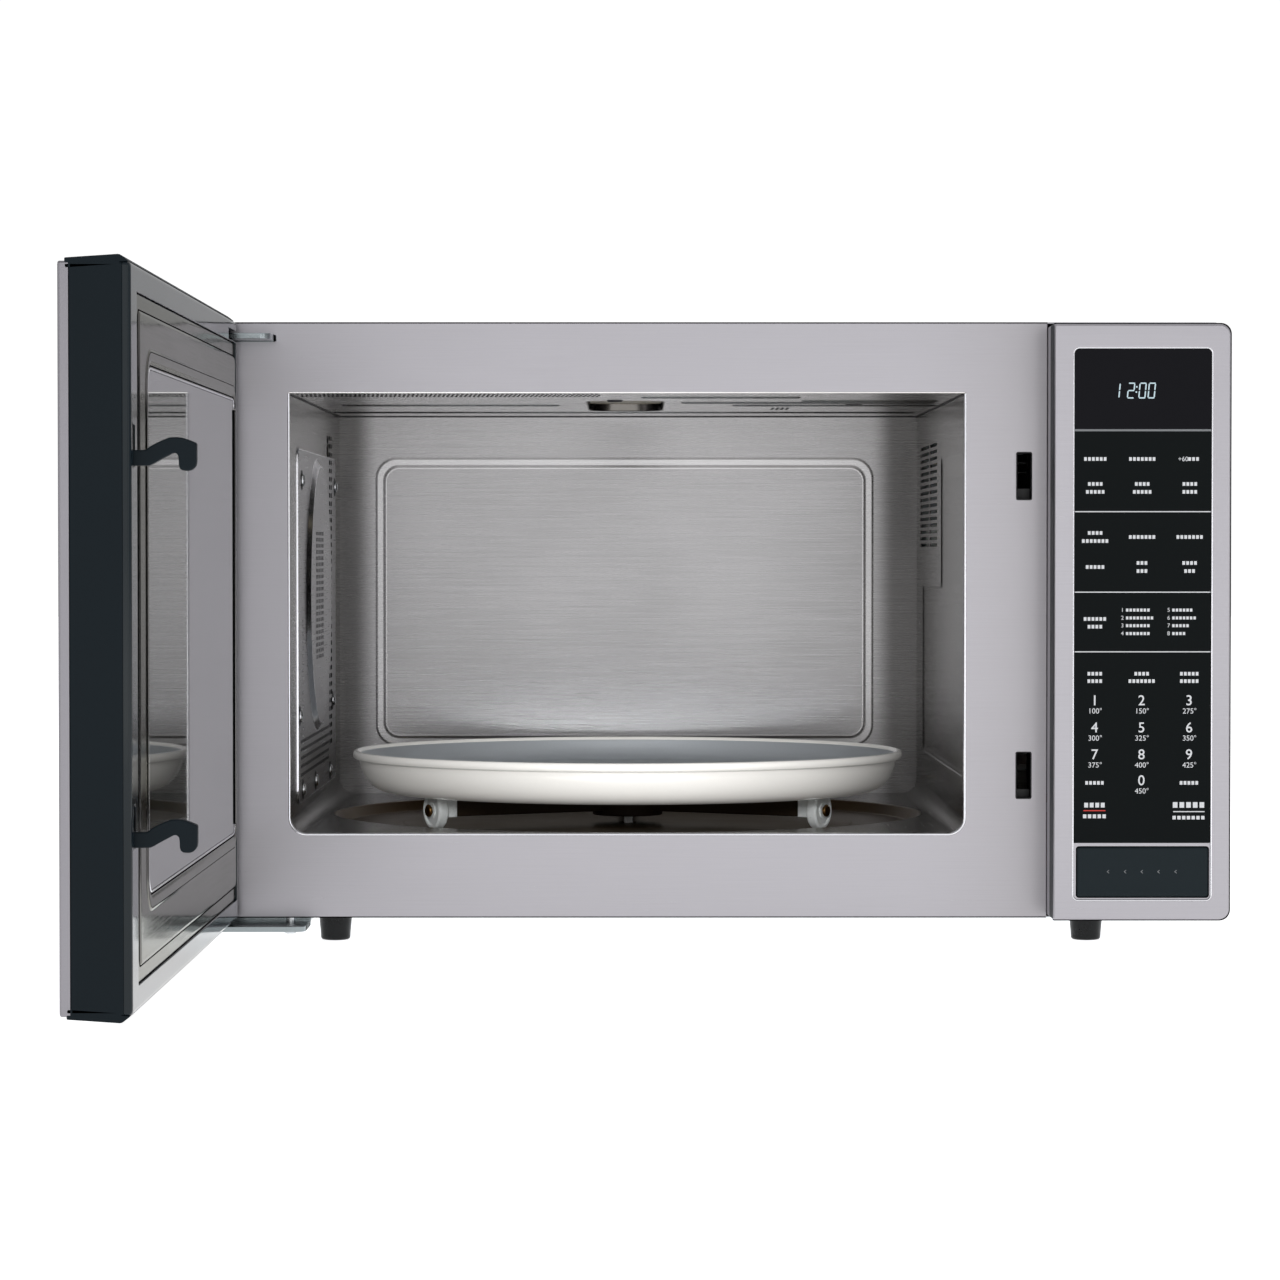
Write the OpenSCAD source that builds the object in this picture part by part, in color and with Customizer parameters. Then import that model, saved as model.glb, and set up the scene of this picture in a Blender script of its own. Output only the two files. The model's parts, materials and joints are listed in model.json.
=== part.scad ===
// Counter-top convection microwave oven with a side-hung push-button door.
// Row frame: X to the right, Y to the back, Z up; origin on the floor under the
// middle of the body. The door is drawn standing open at a right angle.

/* [Body] */
// Width of the body
body_w = 625; // [621:1:630]
// Height of the top above the floor
body_top = 378; // [377:0.5:382]
// Depth from the front plate to the rear panel
body_d = 440; // [438:1:446]
// Height of the feet
foot_h = 17.2; // [16.8:0.1:17.4]
// Thickness of the sheet steel of the case and cavity
sheet = 0.8; // [0.7:0.05:0.9]
// Thickness of the front plate
plate_t = 1.2; // [1:0.1:1.3]

/* [Cavity] */
// Left wall of the oven cavity
cav_l = -252.9; // [-253.5:0.1:-252.5]
// Right wall of the oven cavity
cav_r = 156.7; // [156:0.1:157.5]
// Floor of the oven cavity
cav_b = 67.8; // [67.5:0.1:68.2]
// Ceiling of the oven cavity
cav_t = 335.2; // [334.8:0.1:335.6]
// Back wall of the oven cavity
cav_y = 196; // [194:0.5:198]
// Radius of the lower corners of the opening
cav_rad = 10.4; // [9:0.1:11]

/* [Control panel] */
// Left edge of the control panel
pan_l = 206.5; // [206:0.1:207]
// Right edge of the control panel
pan_r = 312; // [311.6:0.1:312.4]
// Lower edge of the control panel
pan_b = 19.2; // [18.8:0.1:19.6]
// Upper edge of the control panel
pan_t = 375.1; // [374.6:0.1:375.6]
// How far the panel stands in front of the front plate
pan_d = 37.2; // [37:0.1:37.6]

/* [Door] */
// Thickness of the door, inner face to steel skin
door_t = 35.4; // [35.2:0.1:35.5]
// Length of the door from hinge end to free edge
door_len = 514; // [512:0.5:515]
// Lower edge of the door
door_b = 17.4; // [17.2:0.1:17.6]
// Upper edge of the door
door_top = 377.6; // [377.4:0.1:377.8]
// Radius of the hinge pins
pin_r = 3; // [2.8:0.05:3.02]

/* [Turntable] */
// Outer radius of the tray
tray_r = 180.6; // [178:0.1:181]
// Radius of the circle that the rollers run on
roll_R = 141.9; // [141.5:0.1:142.3]
// Radius of a roller
roll_r = 12; // [11.9:0.02:12.04]
// Height of the top of the tray rim
rim_z = 109.2; // [108.8:0.1:109.6]

/* [Hidden] */
$fn = 48;

yf = -body_d/2;          // front face of the front plate
yp = yf + plate_t;       // back face of the front plate
yb = body_d/2;           // rear face of the rear panel
hw = body_w/2;
zb = foot_h;
s = sheet;
hx = -297.75;            // hinge axis
hy = yf - 16.15;
xo = hx - 20.25;         // steel skin of the open door
xi = xo + door_t;        // inner face of the open door
yh = hy + 14.2;          // hinge end of the open door
ye = yh - door_len;      // free edge of the open door
tx = -48.1;              // turntable axis
ty = yf + 211;
well_z = cav_b - 6.8;    // bottom of the turntable well
axle_z = well_z + roll_r + 0.3;
fx = -15;                // convection fan axis, Y
fz = 211;                // convection fan axis, Z
cfx = 236;               // cooling fan axis, X
cfz = 192;               // cooling fan axis, Z
lvy = yf + 6;            // lever pivot, Y
lvz = 84;                // lever pivot, Z
hkx = hx + hy - 191.6;   // middle of the hooks along the open door

// box from corner a to corner b
module bx(a, b) { translate(a) cube([b[0]-a[0], b[1]-a[1], b[2]-a[2]]); }
// profile in X and Z, drawn out from y0 to y1
module xz(y0, y1) { translate([0, y1, 0]) rotate([90, 0, 0]) linear_extrude(y1-y0) children(); }
// profile in Y and Z, drawn out from x0 to x1
module yz(x0, x1) { translate([x0, 0, 0]) rotate([90, 0, 90]) linear_extrude(x1-x0) children(); }
// profile in X and Y, drawn out from z0 to z1
module xy(z0, z1) { translate([0, 0, z0]) linear_extrude(z1-z0) children(); }
// cylinders along each axis
module cx(x0, x1, y, z, r) { translate([x0, y, z]) rotate([0, 90, 0]) cylinder(r=r, h=x1-x0); }
module cy(y0, y1, x, z, r) { translate([x, y1, z]) rotate([90, 0, 0]) cylinder(r=r, h=y1-y0); }
module cz(z0, z1, x, y, r) { translate([x, y, z0]) cylinder(r=r, h=z1-z0); }
// rectangle with its own radius at each corner: lower left, lower right, upper right, upper left
module rrect(x0, y0, x1, y1, r=[0,0,0,0]) {
  polygon([[x0+r[0], y0], [x1-r[1], y0], [x1, y0+r[1]], [x1, y1-r[2]],
           [x1-r[2], y1], [x0+r[3], y1], [x0, y1-r[3]], [x0, y0+r[0]]]);
  if (r[0] > 0) translate([x0+r[0], y0+r[0]]) circle(r=r[0]);
  if (r[1] > 0) translate([x1-r[1], y0+r[1]]) circle(r=r[1]);
  if (r[2] > 0) translate([x1-r[2], y1-r[2]]) circle(r=r[2]);
  if (r[3] > 0) translate([x0+r[3], y1-r[3]]) circle(r=r[3]);
}
module slot2(w, h) { rrect(-w/2, -h/2, w/2, h/2, [h/2-0.01, h/2-0.01, h/2-0.01, h/2-0.01]); }

// ---------- case ----------
module outer_case() color("#b7b5ba") difference() {
  xz(yp, yb-1) difference() {
    rrect(-hw, zb, hw, body_top, [0,0,5,5]);
    rrect(-hw+s, zb-1, hw-s, body_top-s, [0,0,5-s,5-s]);
  }
  // intake louvres on the right and outlet louvres on the left
  for (i=[0:2], k=[0:9]) yz(hw-3, hw+1) translate([60+i*44, 70+k*11]) slot2(34, 4);
  for (i=[0:1], k=[0:7]) yz(-hw-1, -hw+3) translate([96+i*44, 250+k*11]) slot2(34, 4);
}
module base_plate() color("#c3c6c9") difference() {
  union() {
    bx([-hw+s+0.1, yp, zb], [hw-s-0.1, yb-0.9, zb+s]);
    bx([-hw+s+0.1, yp+2, zb], [-hw+2*s+0.1, yb-2, zb+14]);
    bx([hw-2*s-0.1, yp+2, zb], [hw-s-0.1, yb-2, zb+14]);
  }
  for (i=[0:7], k=[0:3]) xy(zb-1, zb+2) translate([-150+i*26, 110+k*18]) slot2(20, 4);
  for (x=[-228, 235], y=[yf+42, yb-40]) cz(zb-1, zb+2, x, y, 3);
  cz(zb-1, zb+2, -253, yf+7, 2.6);
}
module rear_panel() color("#c3c6c9") difference() {
  union() {
    bx([-hw+s+0.1, yb-s, zb+s+0.1], [hw-s-0.1, yb, body_top-s-0.1]);
    // two pressed stand-offs keep the oven off the wall
    for (x=[-200, 110]) difference() {
      xz(yb, yb+8.8) translate([x, 300]) rrect(-30, -14, 30, 14, [6,6,6,6]);
      xz(yb-2, yb+8) translate([x, 300]) rrect(-29.2, -13.2, 29.2, 13.2, [5.2,5.2,5.2,5.2]);
    }
  }
  for (i=[0:3], k=[0:8]) xz(yb-3, yb+1) translate([198+i*28, 150+k*9]) slot2(22, 4);
  for (i=[0:9], k=[0:4]) xz(yb-3, yb+1) translate([-220+i*28, 60+k*9]) slot2(22, 4);
  cy(yb-3, yb+1, 262, 285, 6.5);
  for (p=rear_screw) cy(yb-3, yb+1, p[0], p[1], 2.05);
}
rear_screw = [[-300, 360], [-300, 200], [-300, 40], [300, 360], [300, 180], [300, 40], [0, 368], [0, 26]];
module case_screws() color("#d0d3d6") for (p=rear_screw) {
  cy(yb, yb+2.4, p[0], p[1], 4);
  cy(yb-8, yb, p[0], p[1], 2);
}
module front_plate() color("#bab7bc") {
  xz(yf, yp) difference() {
    rrect(-hw, zb, 203, body_top, [1.5,0,0,5]);
    rrect(cav_l, cav_b, cav_r, cav_t, [cav_rad,cav_rad,0,0]);
    rrect(187.9, 270.8, 196.8, 299.2);
    rrect(187.9, 89.7, 196.8, 117.6);
    rrect(-hw-1, 366.3, -260.4, 370.3, [0,1,1,0]);
  }
  xy(zb, body_top) polygon([[203,yf], [204.6,yp], [203,yp]]);
}
module foot() { cylinder(r1=9, r2=10, h=foot_h-2); translate([0,0,foot_h-2]) cylinder(r=11, h=2);
  translate([0,0,foot_h]) cylinder(r=2.9, h=3); }
module feet() color("#1c1d1f") for (x=[-228, 235], y=[yf+42, yb-40]) translate([x, y, 0]) foot();

// ---------- cavity ----------
module cavity_liner() color("#a9a8ab") difference() {
  // side walls with rounded lower corners; the floor panel lies between them
  xz(yp, cav_y) difference() {
    rrect(cav_l-s, cav_b-s, cav_r+s, cav_t, [cav_rad+s,cav_rad+s,0,0]);
    rrect(cav_l, cav_b, cav_r, cav_t+1, [cav_rad,cav_rad,0,0]);
    rrect(cav_l+cav_rad, cav_b-s-1, cav_r-cav_rad, cav_b+1);
  }
  cx(cav_l-2, cav_l+1, fx, fz, 62);
  yz(cav_l-2, cav_l+1) rrect(-130, 97, 90, 117, [4,4,4,4]);
  yz(cav_l-2, cav_l+1) rrect(78, 130, 94, 316, [4,4,4,4]);
  for (p=cover_screw) cx(cav_l-2, cav_l+1, p[0], p[1], 2.05);
  for (k=[0:15]) yz(cav_r-1, cav_r+2) rrect(yf+226, 242.6+k*4.45, yf+379, 244.8+k*4.45);
}
module cavity_floor() color("#a09d99") difference() {
  union() {
    bx([cav_l+cav_rad+0.1, yp, cav_b-s], [cav_r-cav_rad-0.1, cav_y, cav_b]);
    translate([tx, ty, well_z-s]) cylinder(r1=186.6, r2=193.9, h=7.2);
  }
  translate([tx, ty, well_z]) cylinder(r1=186, r2=193.7, h=8);
  cz(well_z-2, well_z+2, tx, ty, 6);
}
module cavity_ceiling() color("#a3a2a5") difference() {
  union() {
    bx([cav_l-s, yp, cav_t], [cav_r+s, cav_y, cav_t+s]);
    xy(cav_t, cav_t+6.6) rrect(-75-s, -99-s, -24+s, 95+s, [20,20,20,20]);
  }
  xy(cav_t-1, cav_t+5.8) rrect(-75, -99, -24, 95, [19.2,19.2,19.2,19.2]);
  bx([-68, -54, cav_t], [-31, 18, cav_t+8]);
}
module cavity_back() color("#aeadb0") {
  xz(cav_y, cav_y+s) difference() {
    rrect(cav_l-s, well_z, cav_r+s, cav_t+s);
    rrect(-226.4, 102, 124.9, 305.2, [11,11,11,11]);
  }
  // raised middle field
  xz(cav_y-2.5, cav_y+s) difference() {
    rrect(-226.4, 102, 124.9, 305.2, [11,11,11,11]);
    rrect(-225.6, 102.8, 124.1, 304.4, [10.2,10.2,10.2,10.2]);
  }
  xz(cav_y-2.5, cav_y-2.5+s) rrect(-225.7, 102.7, 124.2, 304.5, [10.3,10.3,10.3,10.3]);
}
cover_screw = [[yf+83, 284], [yf+354, 284], [yf+65, 137], [yf+332, 137], [yf+87, 90], [yf+186, 90], [yf+308, 90]];
module convection_cover() color("#b3b2b5") difference() {
  union() {
    yz(cav_l, cav_l+1) rrect(yf+57, 82, yf+364, 304, [10,10,10,10]);
    cx(cav_l, cav_l+3, fx, fz, 87);
  }
  cx(cav_l-1, cav_l+2.2, fx, fz, 86.2);
  for (k=[0:15]) yz(cav_l-1, cav_l+4) rrect(fx-28, 172+k*5, fx+28, 174.2+k*5);
  for (k=[0:3]) yz(cav_l-1, cav_l+4) rrect(yf+80, 97+k*5.4, yf+322, 99.4+k*5.4);
  for (k=[0:17]) yz(cav_l-1, cav_l+4) rrect(yf+298, 124+k*10.6, yf+314, 126.4+k*10.6);
  for (p=cover_screw) cx(cav_l-1, cav_l+4, p[0], p[1], 2.05);
}
module cover_screws() color("#5a5c5e") for (p=cover_screw) {
  cx(cav_l+1, cav_l+3.2, p[0], p[1], 4);
  cx(cav_l-5, cav_l+1, p[0], p[1], 2);
}
module convection_housing() color("#b9bbbd") difference() {
  yz(-283.5, cav_l-s) rrect(-168, 72, 148, 312, [14,14,14,14]);
  yz(-282.7, cav_l) rrect(-167.2, 72.8, 147.2, 311.2, [13.2,13.2,13.2,13.2]);
  cx(-285, -280, fx, fz, 4.5);
  for (a=[-18, 18]) cx(-285, -280, fx+90*sin(a), fz-90*cos(a), 3.5);
}
module convection_heater() color("#8a7f76") {
  translate([-266, fx, fz]) rotate([0, 90, 0]) rotate([0, 0, 18]) rotate_extrude(angle=324) translate([90, 0]) circle(r=3.3, $fn=24);
  for (a=[-18, 18]) translate([-292, fx+90*sin(a), fz-90*cos(a)]) rotate([0, 90, 0]) cylinder(r=3.3, h=26);
  for (a=[-18, 18]) translate([-266, fx+90*sin(a), fz-90*cos(a)]) sphere(r=4.4, $fn=32);
}
module convection_motor() color("#9b9ea0") difference() {
  union() {
    cx(-309, -284.3, fx, fz, 34);
    for (a=[0, 180]) translate([-286, fx, fz]) rotate([a, 0, 0]) bx([0, -46, -6], [1.7, -30, 6]);
  }
  cx(-306, -284, fx, fz, 3.06);
}
module convection_fan() color("#a7a9ab") {
  cx(-305, -262, fx, fz, 3);
  cx(-279.2, -278.2, fx, fz, 74);
  difference() { cx(-278.3, -262, fx, fz, 9); cx(-300, -260, fx, fz, 2.9); }
  for (a=[0:36:324]) translate([-278.3, fx, fz]) rotate([a, 0, 0]) bx([0, 8, -0.5], [15, 72, 0.5]);
}

// ---------- microwave system ----------
module waveguide() color("#b9bbbd") difference() {
  bx([-72, -58, cav_t+6.6], [262, 22, cav_t+36.6]);
  bx([-71, -57, cav_t+7.6], [261, 21, cav_t+35.6]);
  bx([-68, -54, cav_t+6], [-31, 18, cav_t+8]);
  cz(cav_t+6, cav_t+8, 222, -18, 11);
}
module waveguide_cover() color("#c9c0a6") xy(cav_t+4.8, cav_t+5.6) rrect(-74.4, -98.4, -24.6, 94.4, [18.6,18.6,18.6,18.6]);
module magnetron() color("#b0b3b5") {
  difference() {
    bx([176, -58, 276], [268, 22, cav_t+6.6]);
    bx([178, -59, 278], [266, 23, cav_t+4.6]);
  }
  cz(277, cav_t+5, 222, -18, 18);
  cz(cav_t+4, cav_t+26, 222, -18, 9.5);
  for (k=[0:6]) bx([177, -54, 290+k*6], [267, 18, 291+k*6]);
  bx([188, -50, 252], [256, 14, 276]);
  difference() { cz(278, 288, 222, -18, 27); cz(277, 289, 222, -18, 17.5); }
}
module hv_transformer() color("#6b6e70") difference() {
  union() { bx([196, -64, zb+s], [294, 16, zb+s+2]); bx([200, -62, zb+s+2], [290, 14, 98]); }
  for (x=[214, 258]) bx([x, -70, 36], [x+18, 20, 84]);
}
module transformer_coils() color("#9a5b34") for (z=[[36.4, 58], [61, 83.6]]) difference() {
  bx([214.3, -76, z[0]], [275.7, 28, z[1]]);
  bx([231.7, -62.3, z[0]-1], [258.3, 14.3, z[1]+1]);
}
module hv_capacitor() color("#c4c7c9") {
  xy(zb+s, 108) rrect(188, 72, 238, 142, [22,22,22,22]);
  for (y=[92, 118]) bx([210, y, 108], [211, y+6.3, 120]);
}
module hv_diode() color("#2b2b2d") {
  cy(84, 106, 262, 32, 3.4);
  cy(105, 124, 262, 32, 1);
  cz(zb+s, 33, 262, 123, 1);
  cz(zb+s, zb+s+1.2, 262, 123, 5);
}
module noise_filter() color("#2f5d3a") {
  bx([186, 203, 300], [296, 204.6, 356]);
  for (x=[192, 290], z=[306, 350]) cy(204.6, yb-s, x, z, 3);
  bx([200, 184, 312], [226, 203, 340]);
  cy(186, 203, 250, 328, 13);
  cx(266, 290, 196, 310, 3.2);
  bx([264, 193, 306], [267, 203, 314]); bx([289, 193, 306], [292, 203, 314]);
}
module oven_lamp() color("#e8e4d8") {
  translate([161, 60, 282]) rotate([0, 90, 0]) { cylinder(r1=5, r2=9, h=6); translate([0, 0, 5.9]) cylinder(r=9, h=9); translate([0, 0, 14.8]) cylinder(r1=9, r2=6.6, h=5); }
  cx(172, 196, 60, 282, 6.5);
  bx([196, 48, 266], [198, 72, 298]);
  bx([cav_r+s, 48, 298], [198, 72, 299.2]);
}
module cooling_fan_motor() color("#7d8083") difference() {
  bx([cfx-28, 187, cfz-28], [cfx+28, 208, cfz+28]);
  cy(180, 202, cfx, cfz, 3.06);
}
module fan_shroud() color("#cfd1d0") {
  difference() {
    union() {
      bx([160, 148, cfz-66], [308, 150, cfz+66]);
      cy(148, 184, cfx, cfz, 62);
    }
    cy(147, 185, cfx, cfz, 60);
  }
  for (x=[cfx-24, cfx+16]) bx([x, 184, cfz-60], [x+8, 187, cfz+60]);
}
module cooling_fan() color("#3d4145") {
  cy(156, 198, cfx, cfz, 3);
  difference() { cy(156, 178, cfx, cfz, 13); cy(150, 190, cfx, cfz, 2.9); }
  intersection() {
    cy(155, 179, cfx, cfz, 56);
    union() for (a=[0:72:288]) translate([cfx, 167, cfz]) rotate([0, a, 0]) translate([34, 0, 0]) rotate([32, 0, 0]) cube([48, 1.6, 34], center=true);
  }
}

// ---------- door latch board ----------
module latch_board() color("#e6e6e2") difference() {
  union() {
    bx([169, yp, 72], [173, yf+58, 314]);
    bx([173, yp, 122], [187, yp+2, 266]);
    // ledges under the two hooks
    for (z=[[262, 277.5], [88.6, 94.5]]) bx([173, yf+12.2, z[0]], [200, yf+19, z[1]]);
    // right lug of the lever
    bx([197, yp, 78], [200, yf+19, 94.6]);
  }
  cx(168, 201, lvy, lvz, 3.06);
}
swz = [291.5, 280.5, 104];   // heights of the interlock switches
module interlock_switches() color("#2a2c30") for (z=swz) difference() {
  bx([173, yf+22, z-5], [186, yf+50, z+5]);
  bx([183.4, yf+24, z-1.6], [187, yf+28, z+1.6]);
}
module switch_plungers() color("#c23b2e") for (z=swz) bx([184.8, yf+24.2, z-1.4], [188.2, yf+27.8, z+1.4]);
module open_lever() color("#f0f0ec") {
  cx(169.5, 229, lvy, lvz, 3);
  difference() {
    union() {
      cx(184, 196.4, lvy, lvz, 4.4);
      bx([188, lvy, lvz-4], [196, yf+29, lvz+1]);
      bx([188, yf+22.4, lvz], [196, yf+29, 94]);
      cx(222, 230, lvy, lvz, 4.4);
      bx([222, lvy-2.5, 55], [230, lvy+3, lvz]);
    }
    cx(180, 228, lvy, lvz, 2.9);
  }
}

// ---------- control panel ----------
yq = yf - pan_d;         // front of the control panel
module panel_frame() color("#bbb8bd") {
  xz(yq, yq+1.2) difference() {
    rrect(pan_l, pan_b, pan_r, pan_t, [1,6.5,6.5,1]);
    rrect(218.6, 31.2, 300.7, 360.5, [3,3,3,3]);
  }
  xz(yq+1.2, yf+0.5) difference() {
    rrect(pan_l, pan_b, pan_r, pan_t, [1,6.5,6.5,1]);
    rrect(pan_l+1.2, pan_b+1.2, pan_r-1.2, pan_t-1.2, [0,5.3,5.3,0]);
  }
}
module panel_housing() color("#1b1d1f") {
  xz(yq+1.3, yq+3.6) difference() {
    rrect(pan_l+1.3, pan_b+1.3, pan_r-1.3, pan_t-1.3, [0,5.2,5.2,0]);
    rrect(228, 316, 291, 356);
    rrect(220.2, 32.3, 299.9, 63.3, [2,2,2,2]);
  }
  xz(yq+3.6, yf+0.6) difference() {
    rrect(pan_l+1.3, pan_b+1.3, pan_r-1.3, pan_t-1.3, [0,5.2,5.2,0]);
    rrect(pan_l+3.5, pan_b+3.5, pan_r-3.5, pan_t-3.5, [0,3,3,0]);
  }
  for (x=[pan_l+7, pan_r-7], z=[90, 356]) cy(yq+3.6, -240, x, z, 3);
}
module keypad_membrane() color("#1a1c1d") xz(yq+0.6, yq+1.3) rrect(218.9, 65.2, 300.4, 311.4);
module display_window() color("#17171b") xz(yq+0.5, yq+1.3) rrect(218.9, 312, 300.4, 360.2, [0,0,2.7,2.7]);
module display_module() color("#26303a") { bx([231, yq+4, 319], [288, yq+10, 353]); bx([236, yq+10, 324], [283, -240, 326]); }
module control_pcb() color("#2f5d3a") {
  bx([pan_l+5, -240, 80], [pan_r-5, -238.4, 366]);
  for (z=[100, 128, 156]) bx([216, -238.4, z], [244, -224, z+20]);
  bx([262, -238.4, 100], [298, -222, 136]);
  for (x=[262, 280]) cy(-238.4, -222, x, 160, 6);
  bx([240, -238.4, 250], [268, -236, 278]);
}
module open_button() color("#30373c") {
  difference() {
    xz(yq+0.9, yq+12) rrect(220.8, 32.9, 299.3, 62.7, [1.6,1.6,1.6,1.6]);
    xz(yq+3.4, yq+13) rrect(222.6, 34.7, 297.5, 60.9);
  }
  bx([223.5, yq+3.3, 57], [228.5, lvy-5.5, 61]);
  translate([223.5, lvy-5.5, 59]) rotate([0, 90, 0]) cylinder(r=2, h=5);
}

// ---------- hinges ----------
// hinge leaf: round about the pin, straight to the right
module leaf(x1) {
  translate([hx, hy]) circle(r=13);
  polygon([[hx, hy-13], [x1-6, hy-13], [x1, hy-7], [x1, yf+6], [hx-12.9, yf+6], [hx-12.9, hy], [hx, hy]]);
}
module upper_hinge() color("#c9ced1") {
  difference() {
    union() {
      xy(366.6, 370) leaf(-261.4);
      bx([hx-12.9, yp+0.1, 338], [-262, yp+2.3, 370]);
    }
    for (x=[-300, -274]) cy(yp-1, yp+4, x, 350, 2.2);
  }
  cz(352, 367, hx, hy, pin_r);
  cz(370, 371, hx, hy, 5);
}
module lower_hinge() color("#c9ced1") {
  xy(11.2, 14.6) leaf(-241);
  bx([hx-12.9, yf+3, 11.2], [-241, yf+16, 14.6]);
  bx([hx-12.9, yf+12, 11.2], [-241, yf+16, zb]);
  bx([hx-12.9, yf+12, zb-3.4], [-241, yf+44, zb]);
  cz(14.6, 28, hx, hy, pin_r);
  cz(9.6, 11.2, hx, hy, 5);
  // screw head that clamps the leaf
  cz(6.7, 11.2, -253, yf+7, 5);
  cz(14.6, zb+3, -253, yf+7, 2.5);
}
module cord_gland() color("#222325") difference() {
  union() { cy(yb, yb+3, 262, 285, 10); cy(yb-9, yb, 262, 285, 6.4); cy(yb-3.8, yb-s, 262, 285, 8.5); }
  cy(yb-12, yb+6, 262, 285, 4.2);
}

// ---------- door, open ----------
// plan of the door between x0 and x1, cut back round the hinge axis
module plan(x0, x1) {
  xa = max(x0, hx-1);
  polygon([[x0, ye], [x1, ye], [x1, hy], [x0, hy]]);
  if (x0 < hx) polygon([[x0, hy-1], [hx, hy-1], [hx, yh], [x0, yh]]);
  intersection() {
    translate([hx, hy]) circle(r=15.1);
    polygon([[xa, hy-1], [x1, hy-1], [x1, yh], [xa, yh]]);
  }
}
module door_front_frame() color("#bbb8bd") intersection() {
  xy(0, 400) { rrect(xo, ye, xo+8, yh, [0.6,0,0,5]); }
  difference() {
    yz(xo, xo+5.3) rrect(ye, door_b-0.4, yh, door_top+0.1, [1,6.5,6.5,1]);
    yz(xo+1.2, xo+6) rrect(ye+1.2, door_b+0.8, yh-4.2, door_top-1.1, [0,2,2,0]);
    yz(xo-1, xo+2) rrect(ye+44, 66, yh-62, 330, [4,4,4,4]);
  }
}
module door_glass() color("#1d2023") yz(xo+0.3, xo+4.3) difference() {
  rrect(ye+44.2, 66.2, yh-62.2, 329.8, [3.8,3.8,3.8,3.8]);
}
module door_frame() color("#20282e") difference() {
  union() {
    intersection() {
      xy(door_b, door_top) plan(xo+5.3, xi-4.6);
      union() {
        difference() {
          yz(xo+5.3, xi-4.6) rrect(ye, door_b, yh, door_top, [1,1,1,1]);
          yz(xo+7.8, xi) rrect(ye+2.5, door_b+2.5, yh-3, door_top-2.5);
          yz(xo, xi) rrect(ye+40, 60, yh-58, 336, [4,4,4,4]);
        }
        bx([xo+5.3, yh-27, door_b], [xi, yh, 31]);
        bx([xo+5.3, yh-27, 349], [xi, yh, door_top]);
        // walls round the window and the latch guides
        yz(xo+5.3, xi-10.5) difference() { rrect(ye+37, 57, yh-55, 339, [6,6,6,6]); rrect(ye+40, 60, yh-58, 336, [4,4,4,4]); }
        for (z=[60, 190, 320]) bx([xo+5.3, ye+2, z], [xi-19, ye+20, z+3]);
        bx([xo+5.3, ye+2, 40], [xi-5, ye+20, 43]);
      }
    }
    // projecting lips along the top and the bottom edge, cut short at the hinges
    xz(ye, yh-22) polygon([[xo+5.3, door_top-1.6], [xo+5.3, door_top+1.8], [xi-6.4, door_top+3.3], [xi-4.6, door_top+2.1], [xi-4.6, door_top-1.6]]);
    xz(ye, yh-77) polygon([[xo+5.3, door_b+1.6], [xi-4.6, door_b+1.6], [xi-4.6, door_b-2.1], [xi-6.4, door_b-3.3], [xo+5.3, door_b-1.8]]);
  }
  cz(door_b-1, 31.5, hx, hy, 5);
  cz(348, 366, hx, hy, 5);
  // pocket for the upper hinge leaf
  bx([xo+5.2, yh-57, 365.3], [xi+1, yh+1, 371.7]);
}
module choke_cover() color("#232b31") difference() {
  intersection() {
    xy(door_b, door_top) plan(xi-4.5, xi-0.4);
    yz(xi-4.5, xi-0.4) difference() {
      rrect(ye, door_b, yh, door_top, [1,1,1,1]);
      rrect(ye+24, 29.5, hy, 364.5, [2,2,0,0]);
    }
  }
  for (z=[[280, 300.2], [97, 117]]) bx([xi-6, hkx-3.6, z[0]], [xi+1, hkx+3.6, z[1]]);
  bx([xi-6, yh-57, 364.6], [xi+1, yh+1, 371.7]);
  bx([xi-6, yh-27.2, door_b-1], [xi+1, yh+1, 31.2]);
  bx([xi-6, yh-27.2, 348.8], [xi+1, yh+1, door_top+1]);
}
wy0 = ye+69; wy1 = yh-22.5;   // window of the inner panel
module door_inner_panel() color("#b5b4b7") {
  yz(xi-4.4, xi-1.5) difference() {
    rrect(ye+24.4, 29.9, hy-0.4, 364.1, [2,2,0,0]);
    rrect(ye+25.4, 30.9, hy-1.4, 363.1, [1,1,0,0]);
  }
  yz(xi-2.3, xi-1.5) difference() {
    rrect(ye+24.4, 29.9, hy-0.4, 364.1, [2,2,0,0]);
    rrect(ye+36, 37.5, hy-3, 356.5, [3,3,3,3]);
  }
  yz(xi-2.3, xi) difference() {
    rrect(ye+36, 37.5, hy-3, 356.5, [3,3,3,3]);
    rrect(ye+36.8, 38.3, hy-3.8, 355.7, [2.2,2.2,2.2,2.2]);
  }
  yz(xi-0.8, xi) difference() {
    rrect(ye+36.4, 37.9, hy-3.4, 356.1, [2.6,2.6,2.6,2.6]);
    rrect(wy0, 70.5, wy1, 330, [10,8,8,10]);
  }
  yz(xi-2, xi) difference() {
    rrect(wy0-0.8, 69.7, wy1+0.8, 330.8, [10.8,8.8,8.8,10.8]);
    rrect(wy0, 70.5, wy1, 330, [10,8,8,10]);
  }
}
module inner_glass() color("#7f8588") yz(xi-5.2, xi-2.4) rrect(wy0-8, 62, wy1+1.8, 338.5, [4,4,4,4]);
module door_screen() color("#2c2e30") yz(xi-6.4, xi-5.8) rrect(wy0-8, 62, wy1+1.8, 338.5, [4,4,4,4]);
module hinge_bushes() color("#e8e8e4") difference() {
  union() { cz(door_b+0.2, 30.5, hx, hy, 5); cz(350, 365, hx, hy, 5); }
  cz(door_b-1, 28.6, hx, hy, 3.06);
  cz(351.4, 366, hx, hy, 3.06);
}
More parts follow.
